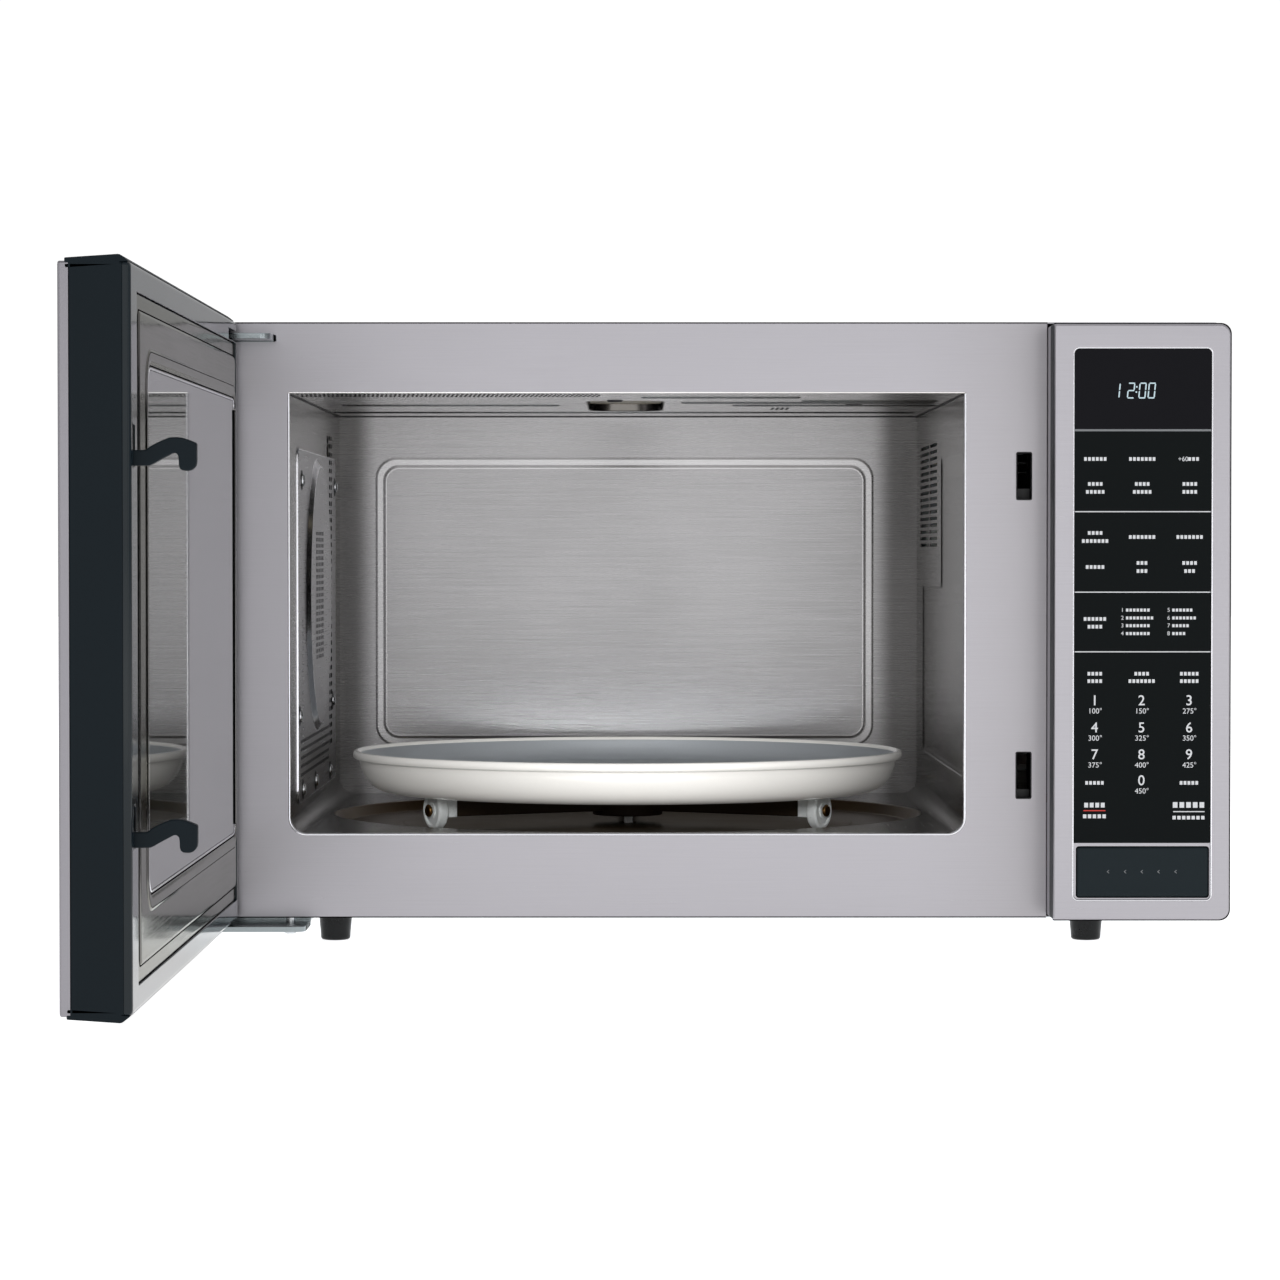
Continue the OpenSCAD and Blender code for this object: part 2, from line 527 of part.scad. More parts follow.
// profile of a hook in X and Z; z is the height of its tip
module hook2(z) translate([xi, z]) polygon([[-12, 2.5], [7.5, 2.5], [9.7, 3.6], [18.5, 8.4], [20.2, 8.2], [21.1, 7.2],
  [21.4, 2.6], [21.9, 1], [23, 0.2], [24.6, 0], [26.3, 0], [27.9, 0.6], [29.3, 2], [29.9, 3.6], [29.9, 13.3],
  [23.2, 15.8], [16.8, 15.9], [7.6, 11.6], [5.6, 10], [-12, 10]]);
module latch_head() color("#262e34") {
  bx([xi-16, hkx-4, 84], [xi-9, hkx+4.5, 306]);
  for (z=[278, 95]) xz(hkx-2.8, hkx+2.8) hook2(z);
}
// closed-coil tension spring below the latch head
spr_n = 10;
function spr(i, k) = let(a=i*30, rr=3.2+0.45*cos(k*60))
  [xi-12.5+rr*cos(a), hkx+rr*sin(a), 44.1+38.9*i/(12*spr_n)+0.45*sin(k*60)];
module latch_spring() color("#c0c4c8") polyhedron(
  points=[for (i=[0:12*spr_n], k=[0:5]) spr(i, k)],
  faces=concat([[for (k=[0:5]) k]], [[for (k=[5:-1:0]) 12*spr_n*6+k]],
    [for (i=[0:12*spr_n-1], k=[0:5]) [i*6+k, (i+1)*6+k, (i+1)*6+(k+1)%6, i*6+(k+1)%6]]));

// ---------- turntable ----------
module turntable_motor() color("#c3c6c9") difference() {
  union() {
    cz(38, 56, tx, ty, 24.5);
    for (a=[0, 180]) translate([tx, ty, 0]) rotate([0, 0, a]) { bx([20, -6, 52], [34, 6, 53.4]); bx([32.6, -6, 52], [34, 6, well_z-s]); }
  }
  cz(48, 57, tx, ty, 3.56);
}
module turntable_shaft() color("#f1f1ee") cz(49, 80, tx, ty, 3.5);
module support_arm(a) translate([tx, ty, 0]) rotate([0, 0, a]) difference() {
  bx([18, -6, 69], [137.2, 6, 78]);
  cx(119, 140, 0, axle_z, 2.5);
}
arm_a = [210, 330, 90];
module roller_support() color("#dfe2e2") difference() {
  union() {
    cz(66, 83.6, tx, ty, 23);
    for (a=arm_a) support_arm(a);
  }
  cz(60, 80.2, tx, ty, 3.52);
}
module roller_pins() color("#8c7048") for (a=arm_a) translate([tx, ty, 0]) rotate([0, 0, a]) {
  cx(120, 147, 0, axle_z, 2.5);
  cx(146.2, 148.4, 0, axle_z, 4);
}
module roller(a) color("#dfe3e4") translate([tx, ty, axle_z]) rotate([0, 0, a]) translate([roll_R-3.6, 0, 0]) rotate([0, 90, 0])
  rotate_extrude() polygon([[2.56, 0], [roll_r-1.2, 0], [roll_r, 1.2], [roll_r, 6], [roll_r-1.2, 7.2], [2.56, 7.2]]);
module roller_1() roller(arm_a[0]);
module roller_2() roller(arm_a[1]);
module roller_3() roller(arm_a[2]);
module tray() color("#e4e3df") translate([tx, ty, 0]) rotate_extrude($fn=96) {
  tb = axle_z + roll_r + 0.3;
  polygon([[0, tb+1.4], [25, tb+1.4], [25, tb-2.4], [28, tb-2.4], [28, tb+1.4], [128, tb+1.4], [130, tb], [149.4, tb], [150.6, tb-3.4],
    [157, tb-3.4], [163.4, tb-2.2], [168.8, tb+0.9], [172.6, tb+5.4], [175.2, tb+10.8], [177.2, rim_z-5.4], [tray_r-0.6, rim_z-5], [tray_r, rim_z-3.8],
    [tray_r, rim_z-1.6], [tray_r-0.9, rim_z-0.3], [tray_r-2.2, rim_z], [tray_r-3.6, rim_z-0.6], [tray_r-4.6, rim_z-2.2],
    [173.4, rim_z-7.6], [170.6, rim_z-11.4], [166, rim_z-14], [158, rim_z-15.2], [0, rim_z-15.2]]);
}

outer_case();
base_plate();
rear_panel();
front_plate();
cavity_liner();
cavity_floor();
cavity_ceiling();
cavity_back();
convection_cover();
cover_screws();
convection_housing();
convection_heater();
convection_motor();
waveguide();
waveguide_cover();
magnetron();
hv_transformer();
transformer_coils();
hv_capacitor();
hv_diode();
noise_filter();
oven_lamp();
turntable_motor();
cooling_fan_motor();
fan_shroud();
latch_board();
interlock_switches();
panel_frame();
panel_housing();
keypad_membrane();
display_window();
display_module();
control_pcb();
upper_hinge();
lower_hinge();
feet();
cord_gland();
case_screws();
door_front_frame();
door_glass();
door_frame();
door_inner_panel();
inner_glass();
door_screen();
choke_cover();
hinge_bushes();
latch_spring();
latch_head();
open_button();
open_lever();
switch_plungers();
tray();
roller_support();
roller_pins();
turntable_shaft();
roller_1();
roller_2();
roller_3();
convection_fan();
cooling_fan();
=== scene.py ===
import json
import math
import bpy
import bmesh
from mathutils import Vector, Matrix

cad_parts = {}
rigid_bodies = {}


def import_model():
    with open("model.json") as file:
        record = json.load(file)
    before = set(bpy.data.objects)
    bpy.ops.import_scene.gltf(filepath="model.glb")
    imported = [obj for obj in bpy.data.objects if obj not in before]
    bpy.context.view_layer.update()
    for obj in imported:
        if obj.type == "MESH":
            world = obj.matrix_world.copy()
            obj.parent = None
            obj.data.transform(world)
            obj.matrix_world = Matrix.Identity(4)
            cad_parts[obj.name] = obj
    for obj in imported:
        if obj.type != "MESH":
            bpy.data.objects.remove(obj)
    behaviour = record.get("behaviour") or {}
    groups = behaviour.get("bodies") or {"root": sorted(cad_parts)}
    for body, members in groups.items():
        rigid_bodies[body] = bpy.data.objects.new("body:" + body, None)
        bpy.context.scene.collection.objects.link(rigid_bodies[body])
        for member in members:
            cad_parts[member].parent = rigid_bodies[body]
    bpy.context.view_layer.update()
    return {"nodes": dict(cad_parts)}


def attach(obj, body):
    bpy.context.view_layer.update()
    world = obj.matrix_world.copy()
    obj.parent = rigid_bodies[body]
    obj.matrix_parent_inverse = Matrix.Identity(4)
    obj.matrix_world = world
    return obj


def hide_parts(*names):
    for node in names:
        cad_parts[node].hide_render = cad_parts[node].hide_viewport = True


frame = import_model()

N = frame["nodes"]
scene = bpy.context.scene
pi = math.pi

# ------------------------------------------------------------------ sizes, in millimetres, as in the CAD model
YF, YP, YB, HW = -220.0, -218.8, 220.0, 312.5          # front plate, its back, rear panel, half width
TOP, ZB = 378.0, 17.2                                  # top of the case, underside of the case
CL, CR, CB, CT, CY = -252.9, 156.7, 67.8, 335.2, 196.0  # cavity: left, right, floor, ceiling, back
HX, HY = -297.75, -236.15                              # hinge axis
XO, XI = -318.0, -282.6                                # open door: outer skin, inner face
YH, YE = -221.95, -735.95                              # open door: hinge end, free edge
DB, DT = 17.4, 377.6                                   # door: bottom, top of its body
LB, LT = 14.1, 380.9                                   # its lips
TX, TY, WELL, AXLE = -48.1, -9.0, 61.0, 73.3           # turntable
FX, FZ = -15.0, 211.0                                  # convection fan axis, Y and Z
HKX = HX + HY - 191.6                                  # middle of the hooks
YQ = -257.2                                            # front of the control panel
PL, PR, PB, PT = 206.5, 312.0, 19.2, 375.1             # control panel frame

# ------------------------------------------------------------------ materials
MATS = {}


def surface(name, color, rough, metallic=0.0, grain=None, gs=900.0, stretch=60.0, gcol=0.0, mott=14.0, mcol=0.03,
            rvar=0.06, bump=0.05, bdist=0.0002, fine=0.0, fine_s=2500.0, spec=0.5, coat=0.0, coat_rough=0.06,
            ior=1.45, trans=0.0, emit=None, emit_s=0.0, alpha=1.0, sheen=0.0, tint=None, edge=1.0):
    """A procedural finish: grain drawn along one axis, soft mottling, roughness that varies with both, and a fine bump."""
    m = bpy.data.materials.new(name)
    m.use_nodes = True
    t = m.node_tree
    t.nodes.clear()
    out = t.nodes.new("ShaderNodeOutputMaterial")
    b = t.nodes.new("ShaderNodeBsdfPrincipled")
    t.links.new(b.outputs[0], out.inputs[0])
    b.inputs["Metallic"].default_value = metallic
    b.inputs["Specular IOR Level"].default_value = spec
    b.inputs["IOR"].default_value = ior
    b.inputs["Specular Tint"].default_value = (edge, edge, edge * (0.95 if edge < 1 else 1), 1)
    b.inputs["Coat Weight"].default_value = coat
    b.inputs["Coat Roughness"].default_value = coat_rough
    b.inputs["Transmission Weight"].default_value = trans
    b.inputs["Alpha"].default_value = alpha
    b.inputs["Sheen Weight"].default_value = sheen
    tc = t.nodes.new("ShaderNodeTexCoord")
    mp = t.nodes.new("ShaderNodeMapping")
    sc = [gs, gs, gs]
    if grain is not None:
        sc["xyz".index(grain)] = gs / stretch
    mp.inputs["Scale"].default_value = sc
    t.links.new(tc.outputs["Object"], mp.inputs["Vector"])
    g = t.nodes.new("ShaderNodeTexNoise")
    g.inputs["Scale"].default_value = 1.0
    g.inputs["Detail"].default_value = 3.0
    g.inputs["Roughness"].default_value = 0.65
    t.links.new(mp.outputs[0], g.inputs["Vector"])
    l = t.nodes.new("ShaderNodeTexNoise")
    l.inputs["Scale"].default_value = mott
    l.inputs["Detail"].default_value = 4.0
    t.links.new(tc.outputs["Object"], l.inputs["Vector"])

    def math_(op, a, c, clamp=False):
        n = t.nodes.new("ShaderNodeMath")
        n.operation = op
        n.use_clamp = clamp
        for i, v in enumerate((a, c)):
            if isinstance(v, (int, float)):
                n.inputs[i].default_value = v
            else:
                t.links.new(v, n.inputs[i])
        return n.outputs[0]
    gg = math_("SUBTRACT", g.outputs["Fac"], 0.5)
    ll = math_("SUBTRACT", l.outputs["Fac"], 0.5)
    total = max(gcol + mcol, 1e-4)
    fac = math_("ADD", math_("MULTIPLY", gg, 1.6 * gcol / total), math_("MULTIPLY", ll, 1.6 * mcol / total))
    fac = math_("ADD", fac, 0.5, True)
    mix = t.nodes.new("ShaderNodeMix")
    mix.data_type = "RGBA"
    lo = [max(0.0, c * (1 - total)) for c in color]
    hi = [min(1.0, c * (1 + total)) for c in color]
    if tint is not None:
        lo = [max(0.0, c * (1 - total) * k) for c, k in zip(color, tint)]
    mix.inputs[6].default_value = (*lo, 1)
    mix.inputs[7].default_value = (*hi, 1)
    t.links.new(fac, mix.inputs[0])
    t.links.new(mix.outputs[2], b.inputs["Base Color"])
    mr = t.nodes.new("ShaderNodeMapRange")
    mr.inputs["From Min"].default_value = 0.2
    mr.inputs["From Max"].default_value = 0.8
    mr.inputs["To Min"].default_value = max(0.0, rough - rvar)
    mr.inputs["To Max"].default_value = min(1.0, rough + rvar)
    t.links.new(fac, mr.inputs["Value"])
    t.links.new(mr.outputs[0], b.inputs["Roughness"])
    h = g.outputs["Fac"]
    if fine > 0:
        f = t.nodes.new("ShaderNodeTexNoise")
        f.inputs["Scale"].default_value = fine_s
        f.inputs["Detail"].default_value = 2.0
        t.links.new(tc.outputs["Object"], f.inputs["Vector"])
        h = math_("ADD", h, math_("MULTIPLY", f.outputs["Fac"], fine))
    bp = t.nodes.new("ShaderNodeBump")
    bp.inputs["Strength"].default_value = bump
    bp.inputs["Distance"].default_value = bdist
    t.links.new(h, bp.inputs["Height"])
    t.links.new(bp.outputs[0], b.inputs["Normal"])
    if coat > 0:
        pass
    if emit is not None:
        b.inputs["Emission Color"].default_value = (*emit, 1)
        b.inputs["Emission Strength"].default_value = emit_s
    MATS[name] = m
    return m


def srgb(r, g, b):
    return [((c / 255 + 0.055) / 1.055) ** 2.4 if c > 10.3 else c / 255 / 12.92 for c in (r, g, b)]


surface("brushed_front", srgb(168,166,171), 0.34, 1.0, grain="x", gs=2000, stretch=130, gcol=0.06, mcol=0.02, rvar=0.07, bump=0.22, bdist=0.00006, mott=6)
surface("brushed_door", srgb(140,138,143), 0.34, 1.0, grain="y", gs=2000, stretch=130, gcol=0.06, mcol=0.02, rvar=0.07, bump=0.22, bdist=0.00006, mott=6)
# painted highlight: near-white steel for rolled and turned edges
surface("rim_highlight_steel", srgb(236, 236, 240), 0.20, 1.0, grain="x", gs=900, stretch=20, gcol=0.05, mcol=0.02, bump=0.05, bdist=0.00004)
surface("case_steel", srgb(176, 175, 180), 0.42, 1.0, grain="y", gs=1100, stretch=70, gcol=0.08, mcol=0.04, rvar=0.08, bump=0.20, bdist=0.00006, mott=5)
surface("cavity_back_steel", srgb(154,153,154), 0.27, 1.0, grain="x", gs=2600, stretch=160, gcol=0.03, mcol=0.02, rvar=0.08, bump=0.06, bdist=0.00007, mott=7)
def painted_end_shade(m, x0, x1, soft, dark):
    """Darkens a finish towards both ends of an X range, with a soft edge: painted shade, multiplied into the base
    colour.
    """
    nt = m.node_tree
    b = [n for n in nt.nodes if n.type == "BSDF_PRINCIPLED"][0]
    src = b.inputs["Base Color"].links[0].from_socket
    tc = nt.nodes.new("ShaderNodeTexCoord")
    sp = nt.nodes.new("ShaderNodeSeparateXYZ")
    nt.links.new(tc.outputs["Object"], sp.inputs[0])
    a = nt.nodes.new("ShaderNodeMath")
    a.operation = "SUBTRACT"
    a.inputs[1].default_value = (x0 + x1) / 2000
    nt.links.new(sp.outputs["X"], a.inputs[0])
    c = nt.nodes.new("ShaderNodeMath")
    c.operation = "ABSOLUTE"
    nt.links.new(a.outputs[0], c.inputs[0])
    r = nt.nodes.new("ShaderNodeMapRange")
    r.interpolation_type = "SMOOTHSTEP"
    r.inputs["From Min"].default_value = (x1 - x0) / 2000 - soft / 1000
    r.inputs["From Max"].default_value = (x1 - x0) / 2000 + soft / 1000
    nt.links.new(c.outputs[0], r.inputs["Value"])
    x = nt.nodes.new("ShaderNodeMix")
    x.data_type = "RGBA"
    x.blend_type = "MULTIPLY"
    x.inputs[7].default_value = (dark, dark * 0.99, dark * 0.97, 1)
    nt.links.new(r.outputs[0], x.inputs[0])
    nt.links.new(src, x.inputs[6])
    nt.links.new(x.outputs[2], b.inputs["Base Color"])


surface("brushed_plate", srgb(170,168,173), 0.34, 1.0, grain="x", gs=2000, stretch=130, gcol=0.06, mcol=0.02, rvar=0.07, bump=0.22, bdist=0.00006, mott=6)
# painted shade: the front plate is darkened right of X = 175 mm
painted_end_shade(MATS["brushed_plate"], -800, 175, 60, 0.86)
# painted shade: the back wall is darkened in strips left of X = -234 mm and right of X = 132 mm
painted_end_shade(MATS["cavity_back_steel"], -234, 132, 9, 0.34)
# painted highlight: a lighter copy of the back wall's steel for the band round the raised field
surface("field_band_highlight_steel", srgb(186,185,186), 0.27, 1.0, grain="x", gs=2600, stretch=160, gcol=0.03, mcol=0.02, rvar=0.08, bump=0.06, bdist=0.00007, mott=7)
# painted shade: the side walls, floor panel and recess slopes get a much darker copy of the cavity steel than the back
# wall
surface("cavity_side_steel_shaded", srgb(116,113,109), 0.22, 1.0, grain="y", gs=2000, stretch=120, gcol=0.05, mcol=0.02, rvar=0.06, bump=0.08, bdist=0.00006, mott=7)
# painted shade: this steel is darkened left of X = -150 mm, on the left wall and the left edge of the floor panel
painted_end_shade(MATS["cavity_side_steel_shaded"], -150, 600, 5, 0.64)
# painted light: the ceiling gets a near-white copy of the cavity steel, lighter than the back wall
surface("cavity_top_steel_lit", srgb(246,245,244), 0.24, 1.0, grain="x", gs=2000, stretch=120, gcol=0.05, mcol=0.02, rvar=0.07, bump=0.08, bdist=0.00006, mott=7)
# painted shade: the ceiling is darkened right of X = 20 mm
painted_end_shade(MATS["cavity_top_steel_lit"], -800, 20, 70, 0.80)
surface("cover_steel", srgb(160,159,161), 0.3, 1.0, grain="y", gs=2000, stretch=120, gcol=0.05, mcol=0.02, rvar=0.06, bump=0.08, bdist=0.00006, mott=8)
surface("well_steel", srgb(92,76,52), 0.36, 1.0, grain="x", gs=900, stretch=40, gcol=0.10, mcol=0.18, rvar=0.10, bump=0.18, bdist=0.00008, mott=11, tint=(1.0, 0.86, 0.70))
surface("door_panel_steel", srgb(120,119,118), 0.12, 1.0, grain="y", gs=2000, stretch=120, gcol=0.05, mcol=0.02, rvar=0.06, bump=0.03, bdist=0.00006, mott=9, edge=0.62)
surface("galvanised", srgb(190, 194, 197), 0.42, 1.0, gs=160, gcol=0.10, mcol=0.08, mott=35, rvar=0.12, bump=0.10, bdist=0.0001)
surface("zinc_plate", srgb(150,156,158), 0.2, 1.0, gs=500, gcol=0.05, mcol=0.10, mott=60, rvar=0.08, bump=0.08, bdist=0.0001, tint=(0.94, 0.98, 1.0))
surface("screw_steel", srgb(208, 210, 212), 0.26, 1.0, gs=1500, gcol=0.08, mcol=0.06, mott=300, rvar=0.08, bump=0.12, bdist=0.00005)
surface("screw_ring", srgb(34, 33, 34), 0.45, 0.6, gs=1500, gcol=0.15, mcol=0.1, mott=300, rvar=0.1, bump=0.2, bdist=0.0001)
surface("core_steel", srgb(118, 116, 112), 0.5, 1.0, grain="x", gs=1400, stretch=60, gcol=0.3, mcol=0.08, rvar=0.1, bump=0.5, bdist=0.0002)
surface("copper", srgb(176, 98, 56), 0.34, 1.0, grain="x", gs=1300, stretch=40, gcol=0.35, mcol=0.05, rvar=0.1, bump=0.8, bdist=0.0003)
surface("motor_steel", srgb(150, 152, 154), 0.4, 1.0, gs=700, gcol=0.08, mcol=0.07, mott=40, rvar=0.1, bump=0.12, bdist=0.0001)
surface("heater_sheath", srgb(122, 112, 102), 0.5, 0.9, gs=700, gcol=0.12, mcol=0.2, mott=60, rvar=0.12, bump=0.2, bdist=0.0001, tint=(1, 0.85, 0.72))
surface("mica", srgb(196, 186, 160), 0.34, 0.0, gs=260, gcol=0.10, mcol=0.12, mott=60, rvar=0.12, bump=0.15, bdist=0.0001, sheen=0.1, tint=(1, 0.92, 0.78))
surface("pcb", srgb(44, 92, 58), 0.42, 0.0, gs=420, gcol=0.22, mcol=0.08, mott=90, rvar=0.1, bump=0.25, bdist=0.0002, coat=0.3)
surface("lamp", srgb(236, 230, 214), 0.18, 0.0, gs=300, gcol=0.02, mcol=0.02, mott=60, bump=0.02, coat=0.4)
surface("white_plastic", srgb(226, 227, 224), 0.42, 0.0, gs=900, gcol=0.02, mcol=0.03, mott=40, rvar=0.06, bump=0.12, bdist=0.0001, fine=0.6)
surface("black_plastic", srgb(26, 27, 29), 0.40, 0.0, gs=1400, gcol=0.08, mcol=0.06, mott=40, rvar=0.08, bump=0.25, bdist=0.0001, fine=0.6)
surface("door_plastic", srgb(19,27,32), 0.42, 0.0, gs=1300, gcol=0.05, mcol=0.06, mott=22, rvar=0.06, bump=0.22, bdist=0.00008, fine=0.5, spec=0.1)
surface("choke_plastic", srgb(20,29,35), 0.1, 0.0, gs=1300, gcol=0.05, mcol=0.05, mott=22, rvar=0.05, bump=0.03, bdist=0.00008, fine=0.5, spec=0.5, edge=0.55)
surface("button_plastic", srgb(30,38,42), 0.42, 0.0, gs=1500, gcol=0.04, mcol=0.04, mott=30, rvar=0.05, bump=0.16, bdist=0.00008, fine=0.6, spec=0.1)
surface("plunger_red", srgb(168, 48, 38), 0.35, 0.0, gs=900, gcol=0.04, mcol=0.04, mott=60, bump=0.1)
surface("keypad", srgb(14,18,19), 0.4, 0.0, gs=1500, gcol=0.05, mcol=0.04, mott=24, rvar=0.05, bump=0.10, bdist=0.00005, fine=0.6, spec=0.06)
surface("display_glass", srgb(14,14,19), 0.16, 0.0, gs=700, gcol=0.03, mcol=0.05, mott=20, rvar=0.03, bump=0.02, bdist=0.00005, spec=0.08)
surface("door_glass", srgb(20, 22, 24), 0.07, 0.0, gs=700, gcol=0.03, mcol=0.05, mott=12, rvar=0.02, bump=0.01, bdist=0.00004, spec=0.55, ior=1.52)
surface("inner_glass", srgb(36,38,36), 0.03, 0.0, gs=500, gcol=0.02, mcol=0.04, mott=9, rvar=0.02, bump=0.01, bdist=0.00004, spec=0.55, ior=1.6, coat=0.1, coat_rough=0.03)
surface("screen", srgb(40, 41, 42), 0.42, 0.8, gs=2600, gcol=0.35, mcol=0.05, mott=30, rvar=0.1, bump=0.4, bdist=0.0001)
surface("spring_steel", srgb(196, 199, 202), 0.22, 1.0, gs=900, gcol=0.06, mcol=0.05, mott=90, bump=0.08)
surface("feet", srgb(14,15,16), 0.26, 0.0, gs=900, gcol=0.05, mcol=0.06, mott=60, rvar=0.06, bump=0.12, bdist=0.0001, fine=0.4, spec=0.25)
# painted light: the tray glows faintly with a warm white emission of 0.1
surface("tray", srgb(238,236,231), 0.18, 0.0, gs=500, gcol=0.01, mcol=0.02, mott=12, rvar=0.03, bump=0.03, bdist=0.0001, spec=0.55, coat=0.6, coat_rough=0.05, emit=(1.0, 0.985, 0.96), emit_s=0.1)
surface("tray_floor", srgb(190,195,200), 0.38, 0.35, gs=700, gcol=0.03, mcol=0.04, mott=14, rvar=0.06, bump=0.06, bdist=0.0001, spec=0.4)
surface("support_plastic", srgb(222, 226, 226), 0.30, 0.0, gs=800, gcol=0.02, mcol=0.03, mott=50, rvar=0.05, bump=0.08, bdist=0.0001, fine=0.4, trans=0.18, ior=1.46)
surface("pins", srgb(110, 84, 52), 0.34, 1.0, gs=900, gcol=0.08, mcol=0.12, mott=200, bump=0.12, tint=(1, 0.85, 0.7))
surface("legend", srgb(214,216,219), 0.5, 0.0, gs=1500, gcol=0.02, mcol=0.02, mott=50, bump=0.04)
surface("legend_red", srgb(206, 56, 48), 0.5, 0.0, gs=1500, gcol=0.02, mcol=0.02, mott=50, bump=0.04)
surface("divider", srgb(118, 121, 124), 0.42, 0.0, gs=1500, gcol=0.03, mcol=0.03, mott=50, bump=0.05)
surface("display_digit", srgb(170,190,198), 0.5, 0.0, gs=1500, gcol=0.02, mcol=0.03, mott=80, bump=0.03, emit=srgb(196, 214, 220), emit_s=0.3)
# dark grey for the ceiling's seams and fixing rings, and painted shade on the recess roof
surface("dark_trim_and_recess_shade", srgb(60, 60, 62), 0.5, 0.7, gs=900, gcol=0.2, mcol=0.1, mott=90, bump=0.4, bdist=0.0002)
# painted highlight: a lighter steel for thin lines on the back wall's field
surface("emboss_highlight_line", srgb(184, 183, 184), 0.25, 1.0, grain="x", gs=2600, stretch=100, gcol=0.03, mcol=0.02, bump=0.05)
# painted shade: flat black for the inside of holes, gaps and shadow lines
surface("painted_shade_black", srgb(12, 12, 13), 0.6, 0.0, gs=900, gcol=0.08, mcol=0.06, mott=40, bump=0.1, spec=0.0)
surface("support_dark", srgb(38, 30, 22), 0.5, 0.0, gs=800, gcol=0.04, mcol=0.05, mott=50, bump=0.08, spec=0.1)
surface("black_paint", srgb(18, 18, 20), 0.5, 0.0, gs=900, gcol=0.08, mcol=0.06, mott=40, bump=0.15)

NODE_MAT = {
    "outer_case": "case_steel", "base_plate": "galvanised", "rear_panel": "galvanised", "front_plate": "brushed_plate",
    "cavity_liner": "cavity_side_steel_shaded", "cavity_floor": "well_steel", "cavity_ceiling": "cavity_top_steel_lit", "cavity_back": "cavity_back_steel",
    "convection_cover": "cover_steel", "cover_screws": "screw_steel", "convection_housing": "galvanised",
    "convection_heater": "heater_sheath", "convection_motor": "motor_steel", "waveguide": "galvanised",
    "waveguide_cover": "mica", "magnetron": "motor_steel", "hv_transformer": "core_steel", "transformer_coils": "copper",
    "hv_capacitor": "motor_steel", "hv_diode": "black_plastic", "noise_filter": "pcb", "oven_lamp": "lamp",
    "turntable_motor": "galvanised", "cooling_fan_motor": "motor_steel", "fan_shroud": "white_plastic",
    "latch_board": "black_plastic", "interlock_switches": "black_plastic", "panel_frame": "brushed_front",
    "panel_housing": "brushed_front", "keypad_membrane": "keypad", "display_window": "display_glass",
    "display_module": "display_glass", "control_pcb": "pcb", "upper_hinge": "zinc_plate", "lower_hinge": "zinc_plate",
    "feet": "feet", "cord_gland": "black_plastic", "case_screws": "screw_steel", "door_front_frame": "brushed_door",
    "door_glass": "door_glass", "door_frame": "door_plastic", "door_inner_panel": "door_panel_steel",
    "inner_glass": "inner_glass", "door_screen": "screen", "choke_cover": "choke_plastic", "hinge_bushes": "white_plastic",
    "latch_spring": "spring_steel", "latch_head": "door_plastic", "open_button": "button_plastic",
    "open_lever": "white_plastic", "switch_plungers": "plunger_red", "tray": "tray", "roller_support": "support_plastic",
    "roller_pins": "pins", "turntable_shaft": "white_plastic", "roller_1": "support_plastic", "roller_2": "support_plastic",
    "roller_3": "support_plastic", "convection_fan": "motor_steel", "cooling_fan": "black_plastic"}
for name, obj in N.items():
    m = MATS[NODE_MAT[name]]
    if not obj.material_slots:
        obj.data.materials.append(m)
    for s in obj.material_slots:
        s.material = m

# ------------------------------------------------------------------ mesh tools, in millimetres until a piece is finished
def rr(x0, y0, x1, y1, r, n=6):
    """Rounded rectangle; r is one radius or [lower left, lower right, upper right, upper left]. Always 4(n+1) points."""
    if isinstance(r, (int, float)):
        r = [r] * 4
    r = [max(v, 0.02) for v in r]
    c = [(x0 + r[0], y0 + r[0], r[0], 180), (x1 - r[1], y0 + r[1], r[1], 270), (x1 - r[2], y1 - r[2], r[2], 0), (x0 + r[3], y1 - r[3], r[3], 90)]
    out = []
    for cx, cy, q, a in c:
        for i in range(n + 1):
            t = math.radians(a + 90 * i / n)
            out.append((cx + q * math.cos(t), cy + q * math.sin(t)))
    return out


def circ(cx, cy, r, n=48, start=0.0):
    return [(cx + r * math.cos(start + 2 * pi * i / n), cy + r * math.sin(start + 2 * pi * i / n)) for i in range(n)]


def capsule(cx, cy, w, h, n=5):
    """Slot with round ends, w long in the first axis, h high."""
    if w >= h:
        r, d = h / 2, (w - h) / 2
        return ([(cx + d + r * math.cos(-pi / 2 + pi * i / n), cy + r * math.sin(-pi / 2 + pi * i / n)) for i in range(n + 1)] +
                [(cx - d + r * math.cos(pi / 2 + pi * i / n), cy + r * math.sin(pi / 2 + pi * i / n)) for i in range(n + 1)])
    return [(cx + (b - cy), cy + (a - cx)) for a, b in reversed(capsule(cx, cy, h, w, n))]


def inset(loop, d):
    """Every point moved in by d along the loop's own normal; the loop runs counter-clockwise."""
    out = []
    n = len(loop)
    for i in range(n):
        a, b, c = Vector(loop[i - 1]), Vector(loop[i]), Vector(loop[(i + 1) % n])
        e1, e2 = b - a, c - b
        n1 = Vector((-e1.y, e1.x)).normalized() if e1.length > 1e-6 else None
        n2 = Vector((-e2.y, e2.x)).normalized() if e2.length > 1e-6 else None
        if n1 is None:
            n1 = n2
        if n2 is None:
            n2 = n1
        m = n1 + n2
        if m.length < 1e-6:
            m = n1.copy()
        m.normalize()
        k = max(0.35, m.dot(n1))
        p = b + m * (d / k)
        out.append((p.x, p.y))
    return out


def at(plane, u, v, w):
    if plane == "xz":
        return Vector((u, w, v))
    if plane == "yz":
        return Vector((w, u, v))
    return Vector((u, v, w))


def new(bm_from=None):
    return bmesh.new()


